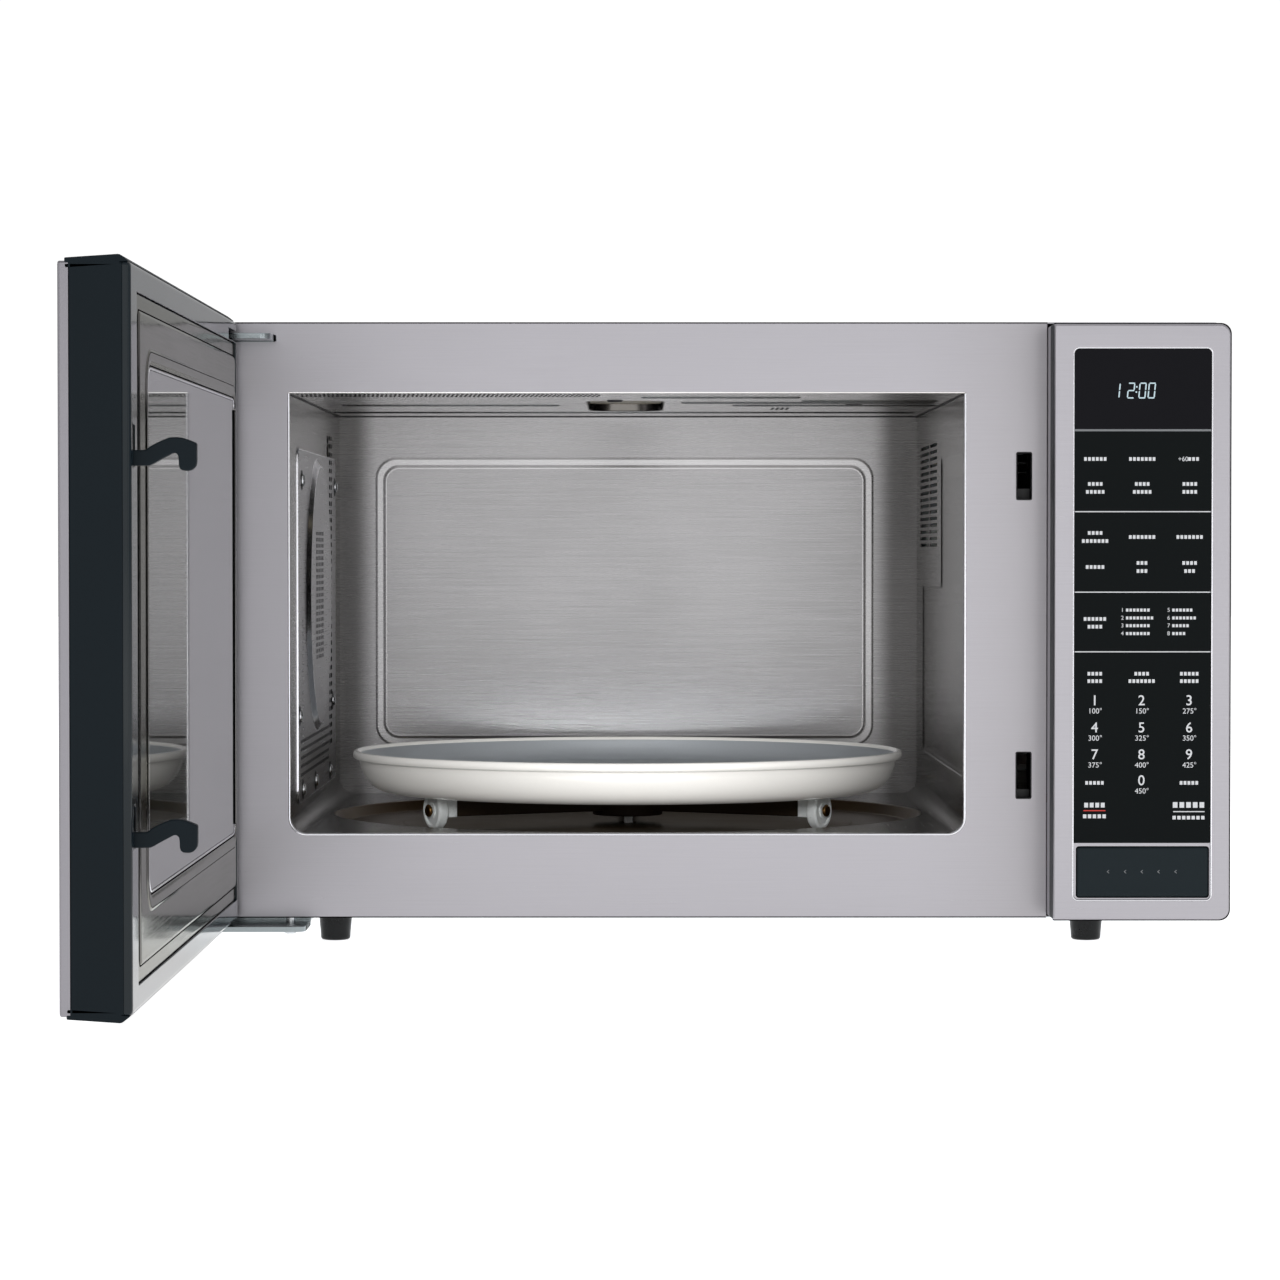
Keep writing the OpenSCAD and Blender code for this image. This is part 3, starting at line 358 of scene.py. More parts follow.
def plate(plane, loops, w0, w1, bev=0.3, res=2, fill=True):
    """A plate between w0 and w1 whose outline is the first loop and whose holes are the others, every edge rounded by bev."""
    cu = bpy.data.curves.new("t", "CURVE")
    cu.dimensions = "2D"
    cu.fill_mode = "BOTH"
    h = abs(w1 - w0) / 2
    bev = min(bev, h * 0.96)
    cu.extrude = h - bev
    cu.bevel_depth = bev
    cu.bevel_resolution = res
    cu.offset = -bev
    for lp in loops:
        pts = []
        for p in lp:
            if not pts or (abs(p[0] - pts[-1][0]) + abs(p[1] - pts[-1][1])) > 1e-3:
                pts.append(p)
        if (abs(pts[0][0] - pts[-1][0]) + abs(pts[0][1] - pts[-1][1])) < 1e-3:
            pts.pop()
        sp = cu.splines.new("POLY")
        sp.points.add(len(pts) - 1)
        for q, p in zip(sp.points, pts):
            q.co = (p[0], p[1], 0, 1)
        sp.use_cyclic_u = True
    ob = bpy.data.objects.new("t", cu)
    scene.collection.objects.link(ob)
    dg = bpy.context.evaluated_depsgraph_get()
    me = bpy.data.meshes.new_from_object(ob.evaluated_get(dg))
    bm = bmesh.new()
    bm.from_mesh(me)
    bpy.data.objects.remove(ob)
    bpy.data.curves.remove(cu)
    bpy.data.meshes.remove(me)
    bmesh.ops.remove_doubles(bm, verts=bm.verts, dist=2e-4)
    mid = (w0 + w1) / 2
    for v in bm.verts:
        v.co = at(plane, v.co.x, v.co.y, v.co.z + mid)
    bmesh.ops.recalc_face_normals(bm, faces=bm.faces)
    return bm


def loft(plane, sections, closed=False, cap=True):
    """Skin through sections [(loop, w), ...] that have the same number of points. closed joins the last to the first."""
    bm = bmesh.new()
    rings = []
    for lp, w in sections:
        rings.append([bm.verts.new(at(plane, p[0], p[1], w)) for p in lp])
    n = len(rings[0])
    pairs = list(zip(rings[:-1], rings[1:]))
    if closed:
        pairs.append((rings[-1], rings[0]))
    for a, b in pairs:
        for i in range(n):
            j = (i + 1) % n
            try:
                bm.faces.new((a[i], a[j], b[j], b[i]))
            except ValueError:
                pass
    if cap and not closed:
        bm.faces.new(rings[0])
        bm.faces.new(rings[-1])
    bmesh.ops.remove_doubles(bm, verts=bm.verts, dist=1e-4)
    bmesh.ops.recalc_face_normals(bm, faces=bm.faces)
    return bm


def lathe(axis, c, prof, n=64, a0=0.0):
    """Solid turned about an axis through c. prof is [(radius, along), ...]; ends on the axis are closed there."""
    bm = bmesh.new()
    rings = []
    for r, w in prof:
        ring = []
        if r < 1e-4:
            ring = None
            p = (0.0, 0.0, w)
            pts = [p]
        else:
            pts = [(r * math.cos(a0 + 2 * pi * i / n), r * math.sin(a0 + 2 * pi * i / n), w) for i in range(n)]
        vs = []
        for x, y, z in pts:
            if axis == "z":
                q = (c[0] + x, c[1] + y, c[2] + z)
            elif axis == "x":
                q = (c[0] + z, c[1] + x, c[2] + y)
            else:
                q = (c[0] + x, c[1] + z, c[2] + y)
            vs.append(bm.verts.new(q))
        rings.append(vs)
    pairs = list(zip(rings[:-1], rings[1:]))
    if len(rings[0]) > 1 and len(rings[-1]) > 1:
        pairs.append((rings[-1], rings[0]))
    for a, b in pairs:
        if len(a) == 1 and len(b) == 1:
            continue
        for i in range(n):
            j = (i + 1) % n
            if len(a) == 1:
                bm.faces.new((a[0], b[j], b[i]))
            elif len(b) == 1:
                bm.faces.new((a[i], a[j], b[0]))
            else:
                bm.faces.new((a[i], a[j], b[j], b[i]))
    bmesh.ops.recalc_face_normals(bm, faces=bm.faces)
    return bm


def rnd(prof, r, k=3):
    """Rounds the corners of an open profile [(a, b), ...] with radius about r."""
    out = [prof[0]]
    for i in range(1, len(prof) - 1):
        p, q, s = Vector(prof[i - 1]), Vector(prof[i]), Vector(prof[i + 1])
        d1, d2 = (p - q), (s - q)
        t = min(r, d1.length * 0.45, d2.length * 0.45)
        a, b = q + d1.normalized() * t, q + d2.normalized() * t
        for j in range(k + 1):
            f = j / k
            m = a * (1 - f) ** 2 + q * 2 * f * (1 - f) + b * f * f
            out.append((m.x, m.y))
    out.append(prof[-1])
    return out


def block(a, b, bev=0.5, seg=2):
    bm = bmesh.new()
    bmesh.ops.create_cube(bm, size=1.0)
    for v in bm.verts:
        v.co = Vector([(a[i] + b[i]) / 2 + v.co[i] * (b[i] - a[i]) for i in range(3)])
    bev = min(bev, 0.45 * min(abs(b[i] - a[i]) for i in range(3)))
    if bev > 0:
        bmesh.ops.bevel(bm, geom=bm.edges[:], offset=bev, segments=seg, profile=0.5, affect="EDGES")
    bmesh.ops.recalc_face_normals(bm, faces=bm.faces)
    return bm


def sweep(points, r, n=10, closed=False, sec=None):
    """Round bar, or a bar of section sec [(a, b), ...], along points."""
    P = [Vector(p) for p in points]
    m = len(P)
    T = []
    for i in range(m):
        if closed:
            t = P[(i + 1) % m] - P[i - 1]
        else:
            t = P[min(i + 1, m - 1)] - P[max(i - 1, 0)]
        T.append(t.normalized())
    up = Vector((0, 0, 1)) if abs(T[0].z) < 0.9 else Vector((0, 1, 0))
    u = T[0].cross(up).normalized()
    bm = bmesh.new()
    rings = []
    for i in range(m):
        if i:
            q = T[i - 1].rotation_difference(T[i])
            u = q @ u
        u = (u - T[i] * u.dot(T[i])).normalized()
        v = T[i].cross(u)
        if sec:
            rings.append([bm.verts.new(P[i] + u * a + v * b) for a, b in sec])
        else:
            rings.append([bm.verts.new(P[i] + u * r * math.cos(2 * pi * k / n) + v * r * math.sin(2 * pi * k / n)) for k in range(n)])
    k = len(rings[0])
    pairs = list(zip(rings[:-1], rings[1:]))
    if closed:
        pairs.append((rings[-1], rings[0]))
    for a, b in pairs:
        for i in range(k):
            j = (i + 1) % k
            bm.faces.new((a[i], a[j], b[j], b[i]))
    if not closed:
        bm.faces.new(rings[0])
        bm.faces.new(rings[-1])
    bmesh.ops.recalc_face_normals(bm, faces=bm.faces)
    return bm


def turn(bm, axis, deg, c):
    bmesh.ops.rotate(bm, verts=bm.verts, cent=c, matrix=Matrix.Rotation(math.radians(deg), 3, axis))
    return bm


def move(bm, d):
    bmesh.ops.translate(bm, verts=bm.verts, vec=d)
    return bm


class Piece:
    """Collects meshes with their materials, then becomes one object riding on a CAD body."""

    def __init__(self, name):
        self.name, self.bm, self.mats = name, bmesh.new(), []

    def add(self, bm, mat):
        if mat not in self.mats:
            self.mats.append(mat)
        k = self.mats.index(mat)
        for f in bm.faces:
            f.material_index = k
        me = bpy.data.meshes.new("t")
        bm.to_mesh(me)
        bm.free()
        self.bm.from_mesh(me)
        bpy.data.meshes.remove(me)
        return self

    def done(self, body, slot, *replaced, angle=32, weighted=True):
        me = bpy.data.meshes.new(self.name)
        for v in self.bm.verts:
            v.co *= 0.001
        self.bm.to_mesh(me)
        self.bm.free()
        for m in self.mats:
            me.materials.append(MATS[m])
        me.shade_smooth()
        me.set_sharp_from_angle(angle=math.radians(angle))
        o = bpy.data.objects.new(self.name, me)
        scene.collection.objects.link(o)
        if weighted:
            md = o.modifiers.new("wn", "WEIGHTED_NORMAL")
            md.keep_sharp = True
            md.mode = "FACE_AREA"
        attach(o, body)
        if replaced:
            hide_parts(*replaced)
        return o


def cut(bm, tools):
    """bm with every mesh in tools taken away from it, by an exact boolean."""
    def obj(b):
        me = bpy.data.meshes.new("t")
        b.to_mesh(me)
        b.free()
        o = bpy.data.objects.new("t", me)
        scene.collection.objects.link(o)
        return o
    a = obj(bm)
    allt = bmesh.new()
    for t in tools:
        me = bpy.data.meshes.new("t")
        t.to_mesh(me)
        t.free()
        allt.from_mesh(me)
        bpy.data.meshes.remove(me)
    b = obj(allt)
    md = a.modifiers.new("b", "BOOLEAN")
    md.operation, md.solver, md.object = "DIFFERENCE", "EXACT", b
    md.use_self = True
    dg = bpy.context.evaluated_depsgraph_get()
    me = bpy.data.meshes.new_from_object(a.evaluated_get(dg))
    out = bmesh.new()
    out.from_mesh(me)
    for o in (a, b):
        m = o.data
        bpy.data.objects.remove(o)
        bpy.data.meshes.remove(m)
    bpy.data.meshes.remove(me)
    return out


def screw(axis, c, r, h, sgn=1, recess=True, shank=None):
    """Domed screw head with a cross recess, standing h proud of c along the axis in the direction sgn."""
    prof = [(0, 0), (r, 0), (r, h * 0.35), (r * 0.93, h * 0.62), (r * 0.72, h * 0.88), (r * 0.4, h), (0, h)]
    bm = lathe(axis, c, [(a, b * sgn) for a, b in prof], 28)
    if recess:
        k = {"x": 0, "y": 1, "z": 2}[axis]
        tools = []
        for q in (0, 1):
            lo_, hi_ = list(c), list(c)
            for i in range(3):
                if i == k:
                    e = sorted((c[k] + sgn * h * 0.45, c[k] + sgn * (h + 1)))
                    lo_[i], hi_[i] = e
                else:
                    j = [x for x in range(3) if x != k].index(i)
                    d = r * (0.62 if j == q else 0.15)
                    lo_[i], hi_[i] = c[i] - d, c[i] + d
            tools.append(block(lo_, hi_, 0))
        bm = cut(bm, tools)
    return bm

# ------------------------------------------------------------------ front plate, with its rolled edge round the cavity coloured near-white as a painted highlight
p = Piece("oven_front_plate")
opening = rr(CL + 0.5, CB + 0.5, CR - 0.5, CT - 0.5, [10.2, 10.2, 1.0, 1.0], 10)
outline = [q for q in rr(-HW, ZB, 206.3, TOP, [1.5, 0.2, 0.2, 5], 6)]
k_ = max(i for i, q in enumerate(outline) if q[0] < -HW + 0.01 and q[1] > 372)
outline = outline[:k_ + 1] + [(-HW, 370.3), (-261.0, 370.3), (-260.4, 369.7), (-260.4, 366.9), (-261.0, 366.3), (-HW, 366.3)] + outline[k_ + 1:]
p.add(plate("xz", [outline, rr(CL - 0.6, CB - 0.6, CR + 0.6, CT + 0.6, [11.0, 11.0, 1.4, 1.4], 10),
                   rr(187.9, 270.8, 196.8, 299.2, 0.7, 3), rr(187.9, 89.7, 196.8, 117.6, 0.7, 3)], YF + 0.02, YP, 0.32), "brushed_plate")
p.add(loft("xy", [([(203.0, YF + 0.1), (203.5, YF + 0.06), (204.3, YP - 0.35), (204.55, YP), (203.0, YP)], z) for z in (ZB, TOP)]), "brushed_plate")
# rolled edge of the opening: a small half-round turned back into the cavity, coloured near-white as a painted highlight
path = [(CL, CT - 0.2)]
for cx_, s_ in ((CL + 10.4, 180), (CR - 10.4, 270)):
    for i in range(13):
        q = math.radians(s_ + 90 * i / 12)
        path.append((cx_ + 10.4 * math.cos(q), CB + 10.4 + 10.4 * math.sin(q)))
path.append((CR, CT - 0.2))
bead = [(-0.85, 1.25), (-0.8, 0.2), (-0.5, -0.25), (0.0, -0.42), (0.5, -0.25), (0.85, 0.2), (0.95, 1.3)]
secs_ = []
bmr = bmesh.new()
rings_ = []
for i, (x_, z_) in enumerate(path):
    q0, q1 = path[max(i - 1, 0)], path[min(i + 1, len(path) - 1)]
    tx_, tz_ = q1[0] - q0[0], q1[1] - q0[1]
    l_ = math.hypot(tx_, tz_)
    nx_, nz_ = -tz_ / l_, tx_ / l_
    rings_.append([bmr.verts.new((x_ + nx_ * a_, YF + w_, z_ + nz_ * a_)) for a_, w_ in bead])
for ra, rb in zip(rings_[:-1], rings_[1:]):
    for i in range(len(bead)):
        j = (i + 1) % len(bead)
        bmr.faces.new((ra[i], ra[j], rb[j], rb[i]))
bmr.faces.new(rings_[0])
bmr.faces.new(rings_[-1])
bmesh.ops.recalc_face_normals(bmr, faces=bmr.faces)
p.add(bmr, "rim_highlight_steel")
# turned edges of the two latch openings, coloured black
for z0, z1 in ((270.8, 299.2), (89.7, 117.6)):
    s2 = [(rr(187.9 + a, z0 + a, 196.8 - a, z1 - a, max(0.7 - a, 0.15), 3), w) for a, w in ((-0.45, YP), (-0.45, YF - 0.02), (-0.2, YF - 0.16), (0.1, YF - 0.16), (0.32, YF + 0.05), (0.34, YP), (0.1, YP + 0.2))]
    p.add(loft("xz", s2, closed=True), "black_plastic")
# painted shade: a black sleeve lines each latch opening for the dark inside it
for z0_, z1_ in ((270.8, 299.2), (89.7, 117.6)):
    q_ = (187.9, z0_, 196.8, z1_)
    p.add(loft("xz", [(rr(q_[0] - a_, q_[1] - a_, q_[2] + a_, q_[3] + a_, 0.8, 3), y_) for a_, y_ in ((0.1, YP + 0.05), (0.1, YP + 26), (0.9, YP + 26), (0.9, YP + 0.05))], closed=True), "painted_shade_black")
# painted shadow: thin black strips along the bottom and top edges of the front plate
for a_, b_ in ((ZB - 0.02, ZB + 0.75), (TOP - 0.85, TOP - 0.02)):
    p.add(block((-HW + (0.3 if a_ < 100 else 4.6), YF - 0.07, a_), (206.2, YF + 0.9, b_), 0.12, 1), "painted_shade_black")
p.done("root", "brushed_front", "front_plate")

# ------------------------------------------------------------------ cavity: side walls, floor panel and well, back, ceiling
S = 0.8
p = Piece("cavity_side_walls")
# left wall with its openings to the convection unit
lw = [[(YP, CB + 10.4), (CY, CB + 10.4), (CY, CT - 0.05), (YP, CT - 0.05)],
      circ(FX, FZ, 62, 64), rr(-130, 97, 90, 117, 4, 4), rr(78, 130, 94, 316, 4, 4)]
for a, b in ((YF + 83, 284), (YF + 354, 284), (YF + 65, 137), (YF + 332, 137), (YF + 87, 90), (YF + 186, 90), (YF + 308, 90)):
    lw.append(circ(a, b, 2.05, 10))
p.add(plate("yz", lw, CL - S, CL, 0.05, 0), "cavity_side_steel_shaded")
# rounded lower corners
for sx, x0 in ((1, CL), (-1, CR)):
    arc = []
    for i in range(13):
        t = math.radians(90 * i / 12)
        arc.append((x0 + sx * (10.4 - 10.4 * math.cos(t)), CB + 10.4 - 10.4 * math.sin(t)))
    arc2 = []
    for i in range(12, -1, -1):
        t = math.radians(90 * i / 12)
        arc2.append((x0 + sx * (10.4 - 11.2 * math.cos(t)), CB + 10.4 - 11.2 * math.sin(t)))
    p.add(loft("xz", [(arc + arc2, YP), (arc + arc2, CY)]), "cavity_side_steel_shaded")
# right wall: the front field is pressed outwards, the louvre field stays proud
def rwall(d, w):
    """Outline of the pressed field moved in by d, Y and Z; the same number of points each time."""
    y0, y1, y2, z0, z1, z2 = YF + 18 + d, YF + 192 - d, YF + 356 - d, 101 + d, 216 - d, 301 - d
    q = max(5 - d, 1.2)
    q2 = 5 + d
    pts = []
    for cy_, cz_, r_, a0_, a1_ in ((y0 + q, z0 + q, q, 180, 270), (y2 - q, z0 + q, q, 270, 360), (y2 - q, z1 - q, q, 0, 90),
                                   (y1 + q2, z1 + q2, q2, 270, 180), (y1 - q, z2 - q, q, 0, 90), (y0 + q, z2 - q, q, 90, 180)):
        for i in range(6):
            t = math.radians(a0_ + (a1_ - a0_) * i / 5)
            pts.append((cy_ + r_ * math.cos(t), cz_ + r_ * math.sin(t)))
    return pts
slots = [rr(YF + 226, 242.6 + k * 4.45, YF + 292, 244.8 + k * 4.45, 0.9, 3) for k in range(16)]
slots += [rr(YF + 300, 242.6 + k * 4.45, YF + 379, 244.8 + k * 4.45, 0.9, 3) for k in range(16)]
p.add(plate("yz", [[(YP, CB + 10.4), (CY, CB + 10.4), (CY, CT - 0.05), (YP, CT - 0.05)], rwall(0, 0)] + slots, CR, CR + S, 0.05, 0), "cavity_side_steel_shaded")
D = 0.8
secs = [(rwall(0, 0), CR), (rwall(0.5, 0), CR + 0.12), (rwall(1.0, 0), CR + 0.5), (rwall(2.6, 0), CR + D - 0.25), (rwall(3.1, 0), CR + D - 0.1), (rwall(3.6, 0), CR + D)]
outer = [(l_, w_ + S) for l_, w_ in secs]
p.add(loft("yz", secs + [(secs[-1][0], CR + D + S)] + outer[::-1][1:], closed=True, cap=False), "cavity_side_steel_shaded")
p.add(plate("yz", [rwall(3.55, 0)], CR + D, CR + D + S, 0.02, 0), "cavity_side_steel_shaded")
p.done("root", "cavity_steel", "cavity_liner")

p = Piece("cavity_floor_panel")
fl = [[(CL + 10.45, YP), (CR - 10.45, YP), (CR - 10.45, CY), (CL + 10.45, CY)], circ(TX, TY, 193.0, 128)]
p.add(plate("xy", fl, CB - S, CB, 0.05, 0), "cavity_side_steel_shaded")
prof = rnd([(193.4, CB), (191.6, CB - 0.2), (186.4, WELL + 0.4), (185.2, WELL), (148.0, WELL), (147.0, WELL + 0.5), (136.5, WELL + 0.5), (135.5, WELL), (6.0, WELL)], 1.2, 3)
low = [(r_, z_ - S) for r_, z_ in prof][::-1]
p.add(lathe("z", (TX, TY, 0), prof + low, 128), "well_steel")
p.done("root", "cavity_steel", "cavity_floor")

p = Piece("cavity_back_wall")
# sheet with a softly raised middle field
m0 = rr(CL - S, WELL, CR + S, CT + S, 0.02, 12)
F0 = (-227.6, 101.0, 126.2, 306.2)
def field(d, r):
    return rr(F0[0] + d, F0[1] + d, F0[2] - d, F0[3] - d, r, 12)
secs = [(field(0, 15), CY), (field(0.5, 14.6), CY - 0.03), (field(1.1, 14.1), CY - 0.19), (field(1.7, 13.7), CY - 0.23), (field(5.6, 11.2), CY - 0.25), (field(6.3, 10.6), CY - 0.30), (field(6.9, 10.2), CY - 0.46)]
p.add(loft("xz", [(m0, CY + S), (m0, CY), secs[0]] + secs[1:] + [(field(7.8, 9.4), CY - 0.50)] + [(l_, w_ + S) for l_, w_ in secs[::-1]], closed=True), "cavity_back_steel")
p.add(plate("xz", [field(7.6, 9.6)], CY - 0.50, CY - 0.50 + S, 0.02, 0), "cavity_back_steel")
# painted highlight: the band round the raised field in the lighter steel
p.add(loft("xz", [(field(1.9, 13.6), CY - 0.2), (field(1.9, 13.6), CY - 0.275), (field(5.4, 11.3), CY - 0.285), (field(5.4, 11.3), CY - 0.2)], closed=True), "field_band_highlight_steel")
# painted highlight: thin light lines along both edges of the raised field
for d_, r_, w_ in ((1.9, 13.6, CY - 0.26), (7.5, 9.7, CY - 0.52)):
    p.add(loft("xz", [(field(d_, r_), w_ + 0.2), (field(d_, r_), w_), (field(d_ + 0.75, r_ - 0.6), w_), (field(d_ + 0.75, r_ - 0.6), w_ + 0.2)], closed=True), "emboss_highlight_line")
p.done("root", "cavity_steel", "cavity_back")

p = Piece("cavity_ceiling_panel")
CAPS = (-75, -99, -24, 95)          # recess over the mode stirrer cover
out_ = rr(CL - S, YP, CR + S, CY, 0.02, 8)
holes = [rr(*CAPS, 20, 8)]
# perforated intake band behind the front edge, on the left: drawn further down as flat black marks
# group of short slots on the right
for i in range(4):
    holes.append(capsule(49 + i * 3.3, YF + 266, 1.7, 46, 4))
holes.append(circ(-56, YF + 118, 3.0, 14))
holes.append(circ(98.7, YF + 173.5, 3.4, 14))
p.add(plate("xy", [out_] + holes, CT, CT + S, 0.05, 0), "cavity_top_steel_lit")
secs = [(rr(*CAPS, 20, 8), CT), (rr(CAPS[0] + 0.6, CAPS[1] + 0.6, CAPS[2] - 0.6, CAPS[3] - 0.6, 19.6, 8), CT + 0.5),
        (rr(CAPS[0] + 1.6, CAPS[1] + 1.6, CAPS[2] - 1.6, CAPS[3] - 1.6, 18.8, 8), CT + 4.9), (rr(CAPS[0] + 2.4, CAPS[1] + 2.4, CAPS[2] - 2.4, CAPS[3] - 2.4, 18.2, 8), CT + 5.6)]
p.add(loft("xy", secs + [(l_, w_ + S) for l_, w_ in secs[::-1]], closed=True), "cavity_side_steel_shaded")
# painted shade: the roof of the recess over the stirrer cover is dark grey
p.add(plate("xy", [rr(CAPS[0] + 2.2, CAPS[1] + 2.2, CAPS[2] - 2.2, CAPS[3] - 2.2, 18.4, 8), rr(-68, -54, -31, 18, 2, 8)], CT + 5.6, CT + 6.4, 0.05, 0), "dark_trim_and_recess_shade")
# painted shade: the intake band's perforations are flat black marks just under the ceiling, not holes
for j in range(3):
    for i in range(68):
        x_ = -249 + i * 2.72 + (1.36 if j % 2 else 0)
        p.add(plate("xy", [rr(x_ - 0.75, YF + 10 + j * 19, x_ + 0.75, YF + 23 + j * 19, 0.7, 2)], CT - 0.05, CT - 0.002, 0.0, 0), "painted_shade_black")
# shallow stiffening ribs
for x0, y0, x1, y1 in ((-14, YF + 150, 150, YF + 156), (20, YF + 196, 156, YF + 202), (-40, YF + 62, 60, YF + 67), (62, YF + 120, 150, YF + 125), (-236, YF + 196, -92, YF + 204), (-252, YF + 330, 150, YF + 337)):
    secs = [(rr(x0, y0, x1, y1, (y1 - y0) / 2.02, 6), CT + 0.06), (rr(x0 + 0.8, y0 + 0.8, x1 - 0.8, y1 - 0.8, (y1 - y0 - 1.6) / 2.02, 6), CT - 0.7), (rr(x0 + 2, y0 + 2, x1 - 2, y1 - 2, (y1 - y0 - 4) / 2.02, 6), CT - 0.95)]
    p.add(loft("xy", secs), "cavity_top_steel_lit")
# ringed fixings
for x, y, r in ((-56, YF + 118, 4.6), (98.7, YF + 173.5, 5.2)):
    p.add(lathe("z", (x, y, 0), rnd([(r - 1.6, CT + 0.3), (r - 1.6, CT - 0.9), (r, CT - 0.9), (r + 0.6, CT + 0.3)], 0.4), 28), "dark_trim_and_recess_shade")
    p.add(lathe("z", (x, y, 0), rnd([(0.01, CT - 0.7), (r - 2.2, CT - 0.6), (r - 1.9, CT + 0.2), (0.01, CT + 0.2)], 0.4), 28), "screw_steel")
# dark seams along both sides and the back
for a, b in (((CL - 0.1, YP, CT - 0.9), (CL + 0.9, CY, CT)), ((CR - 0.9, YP, CT - 0.9), (CR + 0.1, CY, CT)), ((CL, CY - 1.1, CT - 0.8), (CR, CY + 0.1, CT))):
    p.add(block(a, b, 0.3), "dark_trim_and_recess_shade")
p.done("root", "cavity_steel", "cavity_ceiling")

# ------------------------------------------------------------------ convection cover on the left wall
SCREWS = [(YF + 83, 284), (YF + 354, 284), (YF + 65, 137), (YF + 332, 137), (YF + 87, 90), (YF + 186, 90), (YF + 308, 90)]
p = Piece("convection_cover_plate")
CV = (YF + 57.4, 82, YF + 363.4, 303.6)
holes = []
for i in range(19):
    holes.append(capsule(YF + 90, 114 + i * 4.6, 8.0, 2.0, 3))
body_holes = [h for h in holes]
body_holes += [circ(a, b, 2.05, 10) for a, b in SCREWS]
p.add(plate("yz", [rr(*CV, 9.6, 8), circ(FX, FZ, 89.0, 96)] + body_holes, CL + 0.1, CL + 1.0, 0.4, 2), "cover_steel")
# turned edge down to the wall, coloured near-white as a painted highlight
eo = [(rr(CV[0] + a, CV[1] + a, CV[2] - a, CV[3] - a, 9.6 - a, 8), w) for a, w in ((-0.35, CL + 0.02), (-0.2, CL + 0.55), (0.25, CL + 1.02), (0.9, CL + 1.0), (0.9, CL + 0.02))]
p.add(loft("yz", eo, closed=True), "rim_highlight_steel")
# column of perforations towards the back and rows at the foot of the wall, drawn as flat black marks: painted shade of
# the holes
dots = []
for j in range(2):
    for i in range(38):
        dots.append(rr(YF + 305.5 + j * 13.5, 108 + i * 5.6, YF + 314.5 + j * 13.5, 111.2 + i * 5.6, 1.2, 2))
for i in range(5):
    for j in range(38):
        dots.append(rr(YF + 74 + j * 6.0, 98.4 + i * 5.2, YF + 76.9 + j * 6.0, 100.7 + i * 5.2, 1.1, 2))
for d_ in dots:
    p.add(plate("yz", [d_], CL + 1.005, CL + 1.06, 0.0, 0), "painted_shade_black")
# raised disc over the fan, with its intake slots
dh = []
for i in range(21):
    z = 171 + i * 4.0
    for j in range(4):
        dh.append(rr(FX - 46 + j * 16.2, z - 1.15, FX - 46 + j * 16.2 + 13.0, z + 1.15, 0.6, 3))
p.add(plate("yz", [circ(FX, FZ, 83.6, 96)] + dh, CL + 3.1, CL + 3.9, 0.06, 1), "cover_steel")
# painted highlight: the rim of the raised disc in the near-white steel
prof = rnd([(89.6, CL + 0.95), (88.6, CL + 1.0), (84.4, CL + 3.85), (83.0, CL + 3.9)], 1.1, 4)
prof = prof + [(83.0, CL + 3.2), (84.0, CL + 3.1), (87.8, CL + 0.3), (89.6, CL + 0.2)]
p.add(lathe("x", (0, FX, FZ), prof, 96), "rim_highlight_steel")
p.done("root", "cavity_steel", "convection_cover")

p = Piece("convection_cover_screws")
for a, b in SCREWS:
    p.add(lathe("x", (0, a, b), rnd([(2.2, CL + 1.0), (2.2, CL + 1.5), (6.0, CL + 1.4), (6.5, CL + 1.0)], 0.3), 28), "screw_ring")
    p.add(screw("x", (CL + 1.1, a, b), 3.9, 2.0, 1), "screw_steel")
    p.add(lathe("x", (0, a, b), [(0, CL - 5), (1.2, CL - 4.4), (2.0, CL - 3.4), (2.0, CL + 1.2), (0, CL + 1.2)], 14), "screw_steel")
p.done("root", "screw_steel", "cover_screws")

# ------------------------------------------------------------------ door, open
def yend(w):
    """Hinge end of the door at a depth w: it is cut back round the hinge axis."""
    if w <= HX:
        return YH
    return HY + math.sqrt(max(15.1 ** 2 - (w - HX) ** 2, 1.0))


p = Piece("door_front_skin")
def skin(dw, extra=0.0):
    h = 5 - math.sqrt(max(25 - (5 - dw) ** 2, 0)) if dw < 5 else 0.0
    o = 1.1 - math.sqrt(max(1.21 - (1.1 - dw) ** 2, 0)) if dw < 1.1 else 0.0
    return rr(YE + o + extra, DB - 0.4 + o + extra, YH - h - extra, DT + 0.1 - o - extra, [1.2, 6.5, 6.5, 1.2], 6), XO + dw
WIN = (YE + 44, 66, YH - 62, 330)
secs = [skin(d_) for d_ in (5.25, 3.6, 2.4, 1.5, 1.0, 0.6, 0.3, 0.1, 0.0)]
secs += [(rr(WIN[0] - 0.4, WIN[1] - 0.4, WIN[2] + 0.4, WIN[3] + 0.4, 4.4, 6), XO), (rr(*WIN, 4.0, 6), XO + 0.25), (rr(*WIN, 4.0, 6), XO + 1.15)]
secs += [(rr(WIN[0] - 0.6, WIN[1] - 0.6, WIN[2] + 0.6, WIN[3] + 0.6, 4.4, 6), XO + 1.2), skin(5.0, 1.2)[:1] + (XO + 1.25,), skin(5.0, 1.2)[:1] + (XO + 5.25,)]
p.add(loft("yz", secs, closed=True), "brushed_door")
p.done("door", "brushed_front", "door_front_frame")

p = Piece("door_front_glass")
p.add(plate("yz", [rr(WIN[0] + 0.15, WIN[1] + 0.15, WIN[2] - 0.15, WIN[3] - 0.15, 3.9, 6)], XO + 0.35, XO + 4.3, 0.45, 3), "door_glass")
p.done("door", "door_glass", "door_glass")

